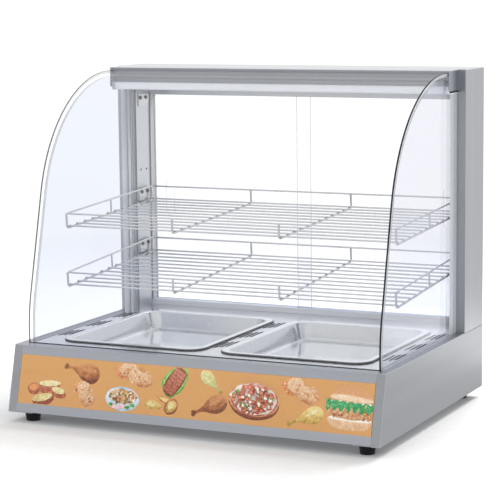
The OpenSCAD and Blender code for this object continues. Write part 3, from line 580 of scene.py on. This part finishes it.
# The front sheet's dark lines at its ends are painted shade, in this colour.
FRONT_EDGE = (0.02, 0.022, 0.026)
DOOR_EDGE = (0.32, 0.35, 0.36)
LEFT_TINTS = ((0.84, 0.855, 0.905), (0.90, 0.915, 0.95))
RIGHT_TINTS = ((0.865, 0.88, 0.915), (0.915, 0.92, 0.955))
DOOR_TINTS = ((0.91, 0.918, 0.95), CLEAR)
paint(sheet_glass("front_glass_clear", CLEAR, CLEAR, 0.3, FRONT_EDGE, FRONT_ENDS), "front_glass")
paint(sheet_glass("side_glass_left_clear", *LEFT_TINTS, 0.06, SIDE_EDGE, SIDE_ENDS), "side_glass_left")
paint(sheet_glass("side_glass_right_clear", *RIGHT_TINTS, 0.9, SIDE_EDGE, SIDE_ENDS), "side_glass_right")
paint(
    sheet_glass("door_glass_clear", *DOOR_TINTS, 0.12, DOOR_EDGE, faces_along(1, 0.5)),
    "door_left", "door_right",
)


# ---------- Pans ----------

def show(name, mesh, body, slot, *replaced):
    """New object from the mesh, riding on the body, with the CAD nodes it stands for; slot is not used."""
    piece = bpy.data.objects.new(name, mesh)
    bpy.context.scene.collection.objects.link(piece)
    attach(piece, body)
    if replaced:
        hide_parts(*replaced)
    return piece


def node_slot(node):
    """The record's material slot of a CAD node."""
    return next(row["material_slot"] for row in frame["record"]["subparts"] if row["node"] == node)


def mesh_of(name, verts, faces, smooth=True):
    """New mesh from its points and faces, shaded smooth or flat."""
    mesh = bpy.data.meshes.new(name)
    mesh.from_pydata(verts, [], faces)
    mesh.validate()
    for polygon in mesh.polygons:
        polygon.use_smooth = smooth
    return mesh


def rounded_ring(middle, width, depth, corner, z, steps=10):
    """Points round a rectangle with round corners, at height z."""
    points = []
    for quarter, (sx, sy) in enumerate(((1, 1), (-1, 1), (-1, -1), (1, -1))):
        for step in range(steps + 1):
            turn = (quarter + step / steps) * math.pi / 2
            points.append((
                middle[0] + sx * (width / 2 - corner) + corner * math.cos(turn),
                middle[1] + sy * (depth / 2 - corner) + corner * math.sin(turn),
                z,
            ))
    return points


def bridge(rings):
    """Vertices and faces of a skin over closed rings of equal length, the last one filled."""
    count = len(rings[0])
    verts = [point for ring in rings for point in ring]
    faces = []
    for k in range(len(rings) - 1):
        for i in range(count):
            j = (i + 1) % count
            faces.append((k * count + i, k * count + j, (k + 1) * count + j, (k + 1) * count + i))
    faces.append(tuple((len(rings) - 1) * count + i for i in range(count)))
    return verts, faces


# Sizes of a pan in mm: its sheet, its walls' inset and lean, its depth, and the radii of its bends.
PAN_SHEET = 0.8
PAN_WELL_INSET = 13.2
PAN_DRAFT = 9.0
PAN_DEPTH = 31.2
PAN_RIM_CORNER = 31.5
PAN_LIP_BEND = 3.7
PAN_FOOT_BEND = 8.0
# Rows of faces, counted from the rim: the rolled edge, and the walls, both in steel painted darker as painted
# shade.
PAN_EDGE_ROWS = range(0, 3)
PAN_WALL_ROWS = range(10, 19)


def pan_profile():
    """(inset, drop, corner radius) in mm, from the rim's rolled edge over the wall to the flat floor."""
    rows = [(0.15, 2.7), (0.05, 1.5), (0.35, 0.7), (1.0, 0.2), (2.0, 0.02), (6.5, 0.0), (9.5, 0.1)]
    inset, drop = rows[-1]
    for step in range(1, 6):
        turn = step / 5 * math.radians(72)
        rows.append((inset + PAN_LIP_BEND * math.sin(turn), drop + PAN_LIP_BEND * (1 - math.cos(turn))))
    inset, drop = rows[-1]
    foot_inset = PAN_WELL_INSET + PAN_DRAFT - 1.5
    foot_drop = PAN_DEPTH - PAN_FOOT_BEND
    for step in range(1, 5):
        share = step / 4
        rows.append((inset + (foot_inset - inset) * share, drop + (foot_drop - drop) * share))
    for step in range(1, 8):
        turn = step / 7 * math.pi / 2
        across = PAN_FOOT_BEND * (1 - math.cos(turn))
        rows.append((foot_inset + across, foot_drop + PAN_FOOT_BEND * math.sin(turn)))
    inset = rows[-1][0]
    rows += [(inset + 5, PAN_DEPTH), (inset + 26, PAN_DEPTH - 0.2)]
    return [(inset, drop, max(6.0, PAN_RIM_CORNER - 0.5 * inset)) for inset, drop in rows]


def food_pan(side):
    """Pressed pan: a rolled rim, drafted walls, a round foot and a slightly crowned floor."""
    node = f"pan_{side}"
    low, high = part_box(node)
    middle = (low + high) / 2
    size = high - low
    rings = [
        rounded_ring(
            middle, size.x - 2 * inset * MM, size.y - 2 * inset * MM, corner * MM, high.z - drop * MM,
        )
        for inset, drop, corner in pan_profile()
    ]
    mesh = mesh_of(f"food_pan_{side}", *bridge(rings))
    for material in (PAN_STEEL, PAN_EDGE_SHADE, PAN_WALL_SHADE):
        mesh.materials.append(material)
    # The rolled edge and the walls take the darker steels of painted shade.
    for polygon in mesh.polygons:
        row = polygon.index // len(rings[0])
        if row in PAN_EDGE_ROWS:
            polygon.material_index = 1
        elif row in PAN_WALL_ROWS:
            polygon.material_index = 2
    piece = show(f"food_pan_{side}", mesh, node, node_slot(node), node)
    shell = piece.modifiers.new("sheet", "SOLIDIFY")
    shell.thickness = PAN_SHEET * MM
    shell.offset = -1.0


for side in SIDES:
    food_pan(side)


# ---------- Printed panel ----------

# The base's front leans back by BASE_LEAN mm over its height of BASE_RISE mm.
BASE_LEAN = 27.5
BASE_RISE = 109.0
PANEL_LOW, PANEL_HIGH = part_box("printed_panel")
PANEL_SLOPE = math.atan2(BASE_LEAN, BASE_RISE)
PANEL_HALF = PANEL_HIGH.x / MM - 0.5
PANEL_TALL = (PANEL_HIGH.z - PANEL_LOW.z) / MM / math.cos(PANEL_SLOPE) - 1.5
# Height of each printed layer over the one below, in mm.
INK_STEP = 0.04

BROWN = ink("roast_brown", (0.23, 0.065, 0.03), (0.42, 0.155, 0.06), (0.60, 0.28, 0.12), 120, 0.9)
DARK_BROWN = ink("dark_brown", (0.12, 0.04, 0.02), (0.24, 0.09, 0.04), (0.36, 0.15, 0.07), 200)
SHINE = ink("roast_shine", (0.46, 0.19, 0.075), (0.55, 0.25, 0.10), (0.66, 0.34, 0.15), 160)
SHELL = ink("red_brown", (0.24, 0.05, 0.028), (0.42, 0.12, 0.06), (0.56, 0.24, 0.13), 200, 0.7)
MEAT_RED = ink("meat_red", (0.30, 0.07, 0.045), (0.46, 0.14, 0.09), (0.60, 0.27, 0.20), 240, 0.4)
CRUMB = ink("crumb", (0.40, 0.14, 0.06), (0.68, 0.37, 0.18), (0.86, 0.64, 0.44), 330, 0.5)
CRUMB_PALE = ink("crumb_pale", (0.50, 0.23, 0.10), (0.76, 0.49, 0.28), (0.90, 0.72, 0.52), 420, 0.3)
CRUMB_RED = ink("crumb_red", (0.48, 0.13, 0.045), (0.68, 0.25, 0.09), (0.82, 0.43, 0.20), 300)
YELLOW = ink("yellow", (0.40, 0.24, 0.05), (0.64, 0.43, 0.12), (0.80, 0.62, 0.26), 150, 0.9)
YELLOW_PALE = ink("pale_yellow", (0.56, 0.42, 0.16), (0.74, 0.62, 0.30), (0.86, 0.78, 0.48), 170, 0.6)
RED = ink("red", (0.40, 0.045, 0.03), (0.58, 0.11, 0.06), (0.72, 0.26, 0.17), 260)
ORANGE = ink("orange", (0.56, 0.18, 0.08), (0.72, 0.32, 0.16), (0.84, 0.50, 0.30), 170, 0.7)
GREEN = ink("green", (0.04, 0.22, 0.03), (0.13, 0.42, 0.07), (0.32, 0.60, 0.16), 240, 0.5)
LETTUCE = ink("lettuce", (0.015, 0.15, 0.05), (0.05, 0.36, 0.14), (0.24, 0.60, 0.30), 330, 0.3)
PALE_GREEN = ink("pale_green", (0.36, 0.36, 0.11), (0.58, 0.58, 0.25), (0.76, 0.75, 0.44), 190, 0.6)
CREAM = ink("cream", (0.84, 0.72, 0.56), (0.92, 0.86, 0.76), (0.97, 0.95, 0.90), 300, 0.2)
PLATE_BLUE = ink("plate_blue", (0.38, 0.56, 0.66), (0.55, 0.70, 0.80), (0.76, 0.85, 0.90), 90, 0.2)
PLATE_PALE = ink("plate_pale", (0.55, 0.68, 0.74), (0.72, 0.80, 0.84), (0.86, 0.90, 0.92), 160, 0.2)
PINK = ink("pink", (0.80, 0.40, 0.42), (0.90, 0.60, 0.60), (0.96, 0.80, 0.78), 200)
BUN = ink("bun", (0.62, 0.36, 0.22), (0.70, 0.40, 0.22), (0.66, 0.33, 0.15), 200, 1.0)
BUN_PALE = ink("bun_pale", (0.66, 0.40, 0.22), (0.80, 0.56, 0.36), (0.90, 0.72, 0.53), 130, 0.6)
OLIVE = ink("olive", (0.05, 0.05, 0.03), (0.12, 0.13, 0.06), (0.25, 0.27, 0.12), 300)
FAINT = ink("faint_line", (0.50, 0.24, 0.06), (0.58, 0.29, 0.08), (0.66, 0.34, 0.11), 200)


def turned(points, degrees, u=0.0, v=0.0):
    """Points (u, v) turned about the origin and then moved."""
    cosine, sine = math.cos(math.radians(degrees)), math.sin(math.radians(degrees))
    return [(u + x * cosine - y * sine, v + x * sine + y * cosine) for x, y in points]


def smooth_loop(points, steps=5):
    """Closed curve through the points (Catmull-Rom)."""
    count = len(points)
    made = []
    for i in range(count):
        a, b, c, d = (points[(i + k - 1) % count] for k in range(4))
        for step in range(steps):
            t = step / steps
            made.append(tuple(
                0.5 * (2 * b[k] + (c[k] - a[k]) * t + (2 * a[k] - 5 * b[k] + 4 * c[k] - d[k]) * t ** 2
                       + (3 * b[k] - a[k] - 3 * c[k] + d[k]) * t ** 3)
                for k in (0, 1)
            ))
    return made


def blob(rng, half_u, half_v, rough=0.07, count=40):
    """Uneven ellipse about the origin."""
    waves = [
        (k, rng.uniform(0.4, 1.0) * rough / k ** 0.5, rng.uniform(0, 2 * math.pi))
        for k in (2, 3, 5, 8, 11)
    ]
    points = []
    for step in range(count):
        turn = 2 * math.pi * step / count
        radius = 1 + sum(size * math.sin(k * turn + phase) for k, size, phase in waves)
        points.append((half_u * radius * math.cos(turn), half_v * radius * math.sin(turn)))
    return points


def scaled(points, across, up):
    """Points (u, v) stretched about the origin."""
    return [(across * x, up * y) for x, y in points]


def print_piece(name, layers):
    """One printed picture: layers of (ink, outline), each a hair above the one before.

    An outline's points are in mm from the middle of the panel's lower edge, across it and up its slope.
    """
    verts, faces, inks, indexes = [], [], [], []
    uphill = Vector((0, math.sin(PANEL_SLOPE), math.cos(PANEL_SLOPE)))
    off_panel = Vector((0, -math.cos(PANEL_SLOPE), math.sin(PANEL_SLOPE)))
    foot = Vector((0, PANEL_LOW.y, PANEL_LOW.z))
    for level, (colour, outline) in enumerate(layers):
        if colour not in inks:
            inks.append(colour)
        start = len(verts)
        for u, v in outline:
            u = min(PANEL_HALF, max(-PANEL_HALF, u))
            v = min(PANEL_TALL, max(1.5, v))
            point = foot + (uphill * v + off_panel * (level + 1) * INK_STEP) * MM
            verts.append((u * MM, point.y, point.z))
        faces.append(tuple(range(start, len(verts))))
        indexes.append(inks.index(colour))
    mesh = bpy.data.meshes.new(name)
    mesh.from_pydata(verts, [], faces)
    for colour in inks:
        mesh.materials.append(colour)
    for polygon, index in zip(mesh.polygons, indexes):
        polygon.material_index = index
        if polygon.normal.y > 0:
            polygon.flip()
    return show(name, mesh, "case", node_slot("printed_panel"))


def print_turned(name, layers, degrees, u, v):
    """One printed picture drawn about the origin, turned and then moved to (u, v)."""
    print_piece(name, [(colour, turned(points, degrees, u, v)) for colour, points in layers])


# A chicken leg of length 1 from its bone end, and the gleam and shade on its meat.
DRUMSTICK = [
    (0.00, -0.05), (0.03, -0.16), (0.09, -0.14), (0.14, -0.08), (0.27, -0.09), (0.40, -0.20), (0.55, -0.40),
    (0.72, -0.50), (0.88, -0.44), (0.98, -0.22), (1.00, 0.05), (0.94, 0.32), (0.82, 0.47), (0.66, 0.48),
    (0.50, 0.34), (0.36, 0.16), (0.24, 0.09), (0.14, 0.08), (0.09, 0.15), (0.02, 0.13), (0.03, 0.04),
]
LEG_GLEAM = [(0.02, 0.10), (0.22, 0.28), (0.38, 0.22), (0.30, 0.08), (0.12, 0.02)]
LEG_SHADE = [(0.0, -0.24), (0.24, -0.46), (0.44, -0.30), (0.46, -0.1), (0.26, -0.28)]


def drumstick(name, u, v, length, width, degrees, meat, bone, shine):
    """Chicken leg from its bone end, turned so that the meat points along degrees, about (u, v)."""
    whole = smooth_loop([((x - 0.5) * length, y * width) for x, y in DRUMSTICK])
    knob = smooth_loop([((x * 0.8 - 0.5) * length, y * width * 0.9) for x, y in DRUMSTICK if x < 0.15])
    under = smooth_loop(scaled(LEG_SHADE, length, width))
    gleam = smooth_loop(scaled(LEG_GLEAM, length, width))
    print_turned(name, [(meat, whole), (bone, knob), (bone, under), (shine, gleam)], degrees, u, v)


def nuggets(name, seed, u, v, half_u, half_v, degrees):
    """Heap of crumbed pieces in two lobes, with loose crumbs over it."""
    rng = random.Random(seed)
    layers = []
    for place, size, colour in (
        ((-0.55, 0.10), (0.42, 0.62), CRUMB_RED),
        ((-0.25, 0.30), (0.50, 0.62), CRUMB),
        ((0.45, -0.15), (0.55, 0.72), CRUMB),
        ((-0.40, 0.25), (0.34, 0.42), CRUMB_PALE),
        ((0.10, -0.05), (0.42, 0.60), CRUMB_PALE),
        ((0.60, -0.10), (0.34, 0.46), CRUMB_PALE),
    ):
        outline = blob(rng, size[0] * half_u, size[1] * half_v, 0.12)
        layers.append((colour, turned(outline, 0, place[0] * half_u, place[1] * half_v)))
    for _ in range(34):
        turn = rng.uniform(0, 2 * math.pi)
        reach = rng.uniform(0.05, 0.82) ** 0.6
        crumb = blob(rng, rng.uniform(1.2, 2.6), rng.uniform(0.9, 2.0), 0.2, 12)
        at = (reach * half_u * math.cos(turn), reach * half_v * 0.8 * math.sin(turn))
        colour = rng.choice((CRUMB, CRUMB_RED, CRUMB_PALE, BROWN, CRUMB_PALE))
        layers.append((colour, turned(crumb, rng.uniform(0, 180), *at)))
    print_turned(name, layers, degrees, u, v)


def bread_slices(u, v):
    """Slices of filled bread, each a dark crust with its pale face over it."""
    rng = random.Random(5)
    rows = (
        (SHELL, (-23, 4), (12.5, 9.5), 8),
        (CRUMB_RED, (-24, 6), (8.5, 5.5), 8),
        (SHELL, (-2, 6), (13, 8.5), 0),
        (SHELL, (6, 12), (21, 7.5), 4),
        (YELLOW_PALE, (6, 14.5), (19.5, 5), 4),
        (SHELL, (24, 0), (14, 8.5), -12),
        (YELLOW_PALE, (23, 4), (13, 5), -12),
        (SHELL, (-4, -13), (21, 9.5), 12),
        (YELLOW_PALE, (-6, -9.5), (19.5, 6), 14),
    )
    print_piece("print_bread", [
        (colour, turned(blob(rng, *size, 0.05), degrees, u + at[0], v + at[1]))
        for colour, at, size, degrees in rows
    ])


def plate_of_food(u, v):
    """Oval plate with a heap of small pieces and a row of garnish."""
    rng = random.Random(8)
    layers = [
        (PLATE_BLUE, turned(blob(rng, 31, 19.5, 0.02), -4, u, v)),
        (PLATE_PALE, turned(blob(rng, 28, 16.5, 0.03), -4, u, v)),
        (CRUMB, turned(blob(rng, 25, 11.5, 0.10), -4, u + 1, v + 4)),
    ]
    for _ in range(80):
        turn = rng.uniform(0, 2 * math.pi)
        reach = rng.uniform(0, 1) ** 0.5
        piece = blob(rng, rng.uniform(1.5, 3.2), rng.uniform(0.9, 1.5), 0.15, 12)
        at = (u + 1 + 25 * reach * math.cos(turn), v + 4 + 11.5 * reach * math.sin(turn))
        colour = rng.choice((BROWN, YELLOW, CREAM, YELLOW, DARK_BROWN, OLIVE))
        layers.append((colour, turned(piece, rng.uniform(0, 180), *at)))
    garnish = (
        ((-18, -10), GREEN), ((-6, -14), PINK), ((3, -12), PINK),
        ((12, -13), GREEN), ((21, -9), GREEN), ((-12, -13), PINK),
    )
    for at, colour in garnish:
        layers.append((colour, turned(blob(rng, 4.2, 2.8, 0.2, 20), 0, u + at[0], v + at[1])))
    print_piece("print_plate", layers)


def sausages(u, v):
    """Sliced sausages in a slanting block on a leaf."""
    rng = random.Random(11)
    leaf = blob(rng, 27, 19, 0.10, 60)
    layers = [
        (GREEN, leaf),
        (PALE_GREEN, scaled(leaf, 0.86, 0.84)),
        (GREEN, scaled(leaf, 0.78, 0.78)),
        (DARK_BROWN, smooth_loop([(-21, -10), (20, -12), (21, 11), (-20, 12)], 3)),
    ]
    slice_outline = [(-2.6, -10), (2.6, -10.5), (2.7, 0), (2.6, 10.5), (-2.6, 10), (-2.7, 0)]
    for row in range(7):
        x = -18 + row * 6
        layers.append((MEAT_RED, smooth_loop([(x + across, up) for across, up in slice_outline], 3)))
        for half in (-1, 1):
            layers.append((CRUMB_RED, turned(blob(rng, 0.5, 3.2, 0.1, 10), 0, x - 0.6, half * 5)))
    print_turned("print_sausages", layers, 58, u, v)


def wedges(u, v):
    """Cut wedges, their skins dark and their faces pale."""
    rows = (
        (YELLOW, ((-31, 1), (-20, 7), (-6, 4), (1, -4), (-10, -8), (-24, -6))),
        (YELLOW_PALE, ((-26, 1), (-18, 4), (-7, 1), (-12, -3), (-22, -3))),
        (BROWN, ((-9, 13), (2, 15), (18, 11), (14, 3), (2, 5))),
        (YELLOW, ((-4, 12), (4, 13), (15, 9), (10, 5), (3, 7))),
        (BROWN, ((6, -2), (12, 9), (24, 12), (31, 3), (26, -10), (14, -14), (7, -9))),
        (YELLOW, ((9, -2), (14, 6), (23, 8), (28, 2), (23, -8), (14, -11), (9, -8))),
        (YELLOW_PALE, ((13, 0), (19, 5), (24, 2), (20, -5), (14, -6))),
    )
    print_turned("print_wedges", [(colour, smooth_loop(points, 4)) for colour, points in rows], 0, u, v)


def pizza(u, v):
    """Round pizza seen at a slant: base, crust, sauce, cheese and scattered toppings."""
    rng = random.Random(17)

    def disc(half_u, half_v, drop, rough):
        """Slightly turned ellipse, drop mm under the pizza's middle."""
        return turned(blob(rng, half_u, half_v, rough, 56), -6, u, v - drop)

    layers = [
        (DARK_BROWN, disc(44, 27, 4.6, 0.012)),
        (SHELL, disc(43.5, 26.5, 3.0, 0.012)),
        (CRUMB, disc(43, 26.5, 0.0, 0.02)),
        (RED, disc(41.5, 24.8, -0.4, 0.03)),
        (CREAM, disc(40, 23.6, -0.6, 0.05)),
    ]
    toppings = {
        "chunk": (MEAT_RED, 3.2), "cheese": (CREAM, 3.0), "green": (GREEN, 2.9), "olive": (OLIVE, 2.2),
    }
    for _ in range(190):
        turn = rng.uniform(0, 2 * math.pi)
        reach = rng.uniform(0, 0.95) ** 0.5
        at = (u + 38 * reach * math.cos(turn), v + 0.6 + 22.5 * reach * math.sin(turn))
        kind = rng.choice(("ring", "ring", "ring", "chunk", "chunk", "cheese", "cheese", "green", "olive"))
        if kind == "ring":
            layers.append((RED, turned(blob(rng, 3.9, 3.0, 0.05, 18), 0, *at)))
            layers.append((ORANGE, turned(blob(rng, 1.7, 1.3, 0.05, 12), 0, *at)))
        else:
            colour, half = toppings[kind]
            layers.append((colour, turned(blob(rng, half, half * 0.65, 0.2, 14), rng.uniform(0, 180), *at)))
    print_piece("print_pizza", layers)


def burger(u, v):
    """Long filled bun: lower half, filling, lettuce and upper half, with crumbs and torn leaves."""
    rng = random.Random(23)
    ruffle = [(x, -5 + 4.2 * math.sin(x * 0.55) + rng.uniform(-1.5, 1.5)) for x in range(-40, 41, 2)]
    crest = [(x, 9 + 2.0 * math.sin(x * 0.5 + 1) + rng.uniform(-1.0, 1.0)) for x in range(40, -41, -2)]
    lower_bun = [(-33, -17), (-32, -27), (-22, -33), (0, -34), (24, -33), (34, -27), (36, -17), (0, -14)]
    upper_bun = [
        (-31, 11), (-32, 18), (-26, 27), (-12, 33), (4, 34.5),
        (20, 32), (33, 24), (37, 14), (34, 10), (4, 8.5),
    ]
    layers = [
        (BUN_PALE, smooth_loop(lower_bun)),
        (CREAM, smooth_loop([(-31, -16), (-28, -20), (0, -21), (32, -20), (35, -16), (0, -13)])),
        (CRUMB, turned(blob(rng, 37, 9.5, 0.09, 70), 0, 1, -9)),
        (CREAM, smooth_loop([(-34, 6), (-20, 12), (0, 13), (22, 12), (36, 7), (30, 2), (0, 1), (-30, 2)])),
        (LETTUCE, ruffle + crest),
        (BUN, smooth_loop(upper_bun)),
        (BUN_PALE, smooth_loop([(-31, 12), (-31, 17), (-10, 19), (14, 18), (36, 15), (33, 11), (4, 9.5)])),
    ]
    for _ in range(30):
        at = (rng.uniform(-33, 35), rng.uniform(-16, -6))
        crumb = blob(rng, rng.uniform(1.6, 3.4), rng.uniform(1.2, 2.2), 0.2, 12)
        colour = rng.choice((CRUMB_RED, CRUMB_PALE, BROWN, CRUMB))
        layers.append((colour, turned(crumb, rng.uniform(0, 180), *at)))
    for _ in range(22):
        at = (rng.uniform(-37, 38), rng.uniform(-5, 8))
        leaf = blob(rng, rng.uniform(2.0, 4.0), rng.uniform(0.8, 1.6), 0.25, 12)
        colour = rng.choice((GREEN, LETTUCE, PALE_GREEN))
        layers.append((colour, turned(leaf, rng.uniform(20, 160), *at)))
    print_turned("print_burger", layers, -2, u, v)


def squiggle(u, v):
    """Faint looped line near the panel's left end."""
    path = [(-13 + 26 * k / 40, 3 * math.sin(k * 0.5) + 1.5 * math.cos(k * 0.9)) for k in range(41)]
    band = [(x, y + 0.7) for x, y in path] + [(x, y - 0.7) for x, y in reversed(path)]
    print_turned("print_squiggle", [(FAINT, band)], 4, u, v)


# The pictures from left to right, each at its middle.
squiggle(-296, 52)
bread_slices(-262, 22)
drumstick("print_leg_brown_1", -198, 61, 68, 33, -12, BROWN, DARK_BROWN, SHINE)
nuggets("print_nuggets_1", 31, -190, 26, 24, 19, -38)
nuggets("print_nuggets_2", 37, -102, 62, 35, 19, -8)
plate_of_food(-119, 22)
sausages(-27, 57)
wedges(-48, 18)
drumstick("print_leg_green", 39, 61, 50, 21, 140, PALE_GREEN, YELLOW, YELLOW_PALE)
drumstick("print_leg_brown_2", 37, 22, 66, 31, 24, BROWN, DARK_BROWN, SHINE)
pizza(114, 40)
nuggets("print_nuggets_3", 41, 192, 60, 34, 19, -10)
drumstick("print_leg_yellow", 203, 19, 64, 27, 22, YELLOW, YELLOW, YELLOW_PALE)
burger(276, 41)


# ---------- Rear controls ----------

KNOB_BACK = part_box("thermostat_knob")[1].y
DIAL_LOW, DIAL_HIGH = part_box("dial_plate")
DIAL_MIDDLE = (DIAL_LOW + DIAL_HIGH) / 2
# The marks stand a hair proud of the dial, from this many degrees off the top.
DIAL_FACE = DIAL_HIGH.y + 0.05 * MM
DIAL_START = -150
WHITE_MARK = plastic("white_mark", (0.80, 0.80, 0.77), 0.5, 0.05, 900, 0.02)
DARK_MARK = plastic("dark_mark", (0.03, 0.03, 0.035), 0.5, 0.05, 900, 0.02)
# The knob: its reach from foot to crown, its skirt and grip radii in mm, its flutes and the steps in each.
KNOB_REACH = 18.6
KNOB_SKIRT = 23.0
KNOB_GRIP = 16.0
FLUTES = 24
FLUTE_STEPS = 6
# The rockers: their faces' slope, their tilt at rest in degrees, and their pivot's depth in the panel in mm.
ROCKER_BEND = math.atan2(2, 10)
ROCKER_TILT = 8.0
ROCKER_PIVOT = 5.0


def rear_point(middle, radius, degrees, y):
    """Point round a control's middle, clockwise from the top as seen from behind."""
    turn = math.radians(degrees)
    return (middle.x - radius * math.sin(turn), y, middle.z + radius * math.cos(turn))


def fluted_knob():
    """Thermostat knob: a turned skirt, a fluted grip with a round crown and a dished face.

    Each row is a ring's radius and its distance from the panel in mm, and how deep its flutes are.
    """
    rows = (
        (KNOB_SKIRT - 1.2, 0.0, 0.0), (KNOB_SKIRT, 0.8, 0.0),
        (KNOB_SKIRT, 3.0, 0.0), (KNOB_SKIRT - 1.0, 4.0, 0.0),
        (KNOB_GRIP + 1.6, 4.6, 0.2), (KNOB_GRIP + 0.2, 6.0, 0.7), (KNOB_GRIP, 9.0, 1.0),
        (KNOB_GRIP - 0.3, 14.5, 1.0), (KNOB_GRIP - 0.9, 16.6, 0.8), (KNOB_GRIP - 2.2, 17.9, 0.3),
        (KNOB_GRIP - 3.6, 18.4, 0.0), (KNOB_GRIP - 5.0, 18.2, 0.0),
        (KNOB_GRIP - 8.0, 17.6, 0.0), (3.0, 17.3, 0.0),
    )
    foot = KNOB_BACK - KNOB_REACH * MM
    count = FLUTES * FLUTE_STEPS
    rings = []
    for radius, out, flute in rows:
        ring = []
        for step in range(count):
            degrees = 360 * step / count
            dip = flute * 0.8 * (0.5 + 0.5 * math.cos(math.radians(degrees * FLUTES)))
            ring.append(rear_point(DIAL_MIDDLE, (radius - dip) * MM, degrees, foot + out * MM))
        rings.append(ring)
    mesh = mesh_of("knob_body", *bridge(rings))
    mesh.materials.append(BLACK_PLASTIC)
    show("knob_body", mesh, "thermostat_knob", node_slot("thermostat_knob"), "thermostat_knob")


def knob_pointer():
    """White line on the knob's dished face, from near its middle to its crown."""
    foot = KNOB_BACK - KNOB_REACH * MM
    line = []
    for radius, lift in ((3.2, 17.9), (KNOB_GRIP - 5.5, 18.5)):
        for half in (-0.8, 0.8):
            line.append((DIAL_MIDDLE.x + half * MM, foot + lift * MM, DIAL_MIDDLE.z + radius * MM))
    mesh = mesh_of("knob_pointer", line, [(0, 1, 3, 2)], False)
    mesh.materials.append(WHITE_MARK)
    show("knob_pointer", mesh, "thermostat_knob", node_slot("thermostat_knob"))


def dial_ticks():
    """Ticks round the dial, longer and wider at the numbers."""
    verts, faces = [], []
    for step in range(31):
        degrees = DIAL_START + 10 * step
        inner, outer, width = (24.2, 26.6, 0.9) if step % 5 == 0 else (24.8, 26.0, 0.5)
        start = len(verts)
        for radius, side in ((inner, -1), (inner, 1), (outer, 1), (outer, -1)):
            offset = math.degrees(side * width / 2 / radius)
            verts.append(rear_point(DIAL_MIDDLE, radius * MM, degrees + offset, DIAL_FACE))
        faces.append((start, start + 1, start + 2, start + 3))
    mesh = mesh_of("dial_ticks", verts, faces, False)
    mesh.materials.append(DARK_MARK)
    show("dial_ticks", mesh, "case", node_slot("dial_plate"))


def dial_numbers():
    """Plain numbers for the heat, 30 to 90, upright as seen from behind."""
    upright = Matrix(((-1, 0, 0), (0, 0, 1), (0, 1, 0))).transposed().to_4x4()
    for index in range(7):
        data = bpy.data.curves.new(f"dial_number_{index}", "FONT")
        data.body = str(30 + 10 * index)
        data.size = 4.6 * MM
        data.align_x = "CENTER"
        data.align_y = "CENTER"
        data.materials.append(DARK_MARK)
        text = bpy.data.objects.new(f"dial_number_{index}", data)
        at = rear_point(DIAL_MIDDLE, 29.2 * MM, DIAL_START + 50 * index, DIAL_FACE)
        text.matrix_world = Matrix.Translation(at) @ upright
        bpy.context.scene.collection.objects.link(text)
        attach(text, "case")


def rocker_marks(which):
    """A bar and a ring moulded on a rocker's two halves, just proud of its faces."""
    low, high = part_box(f"{which}_switch_rocker")
    middle_x = (low.x + high.x) / 2
    pivot_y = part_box("base_rear_panel")[1].y - ROCKER_PIVOT * MM

    def on_face(half, across, along):
        """Point on the half's face, across it and along it from its middle."""
        out = 7.0 + 0.08 + half * along * math.sin(ROCKER_BEND)
        up = half * 5.0 + along * math.cos(ROCKER_BEND)
        tilted_out, tilted_up = turned([(out, up)], ROCKER_TILT)[0]
        return (middle_x + across * MM, pivot_y + tilted_out * MM, DIAL_MIDDLE.z + tilted_up * MM)

    bar = [on_face(1, x, z) for x, z in ((-0.5, -2.0), (0.5, -2.0), (0.5, 2.0), (-0.5, 2.0))]
    verts = list(bar)
    faces = [(0, 1, 2, 3)]
    steps = 28
    for radius in (1.5, 2.3):
        for step in range(steps):
            turn = 2 * math.pi * step / steps
            verts.append(on_face(-1, radius * math.cos(turn), radius * math.sin(turn)))
    for step in range(steps):
        after = (step + 1) % steps
        faces.append((4 + step, 4 + after, 4 + steps + after, 4 + steps + step))
    mesh = mesh_of(f"{which}_rocker_marks", verts, faces, False)
    mesh.materials.append(WHITE_MARK)
    show(f"{which}_rocker_marks", mesh, f"{which}_rocker", node_slot(f"{which}_switch_rocker"))


fluted_knob()
knob_pointer()
dial_ticks()
dial_numbers()
for which in ("power", "lamp"):
    rocker_marks(which)
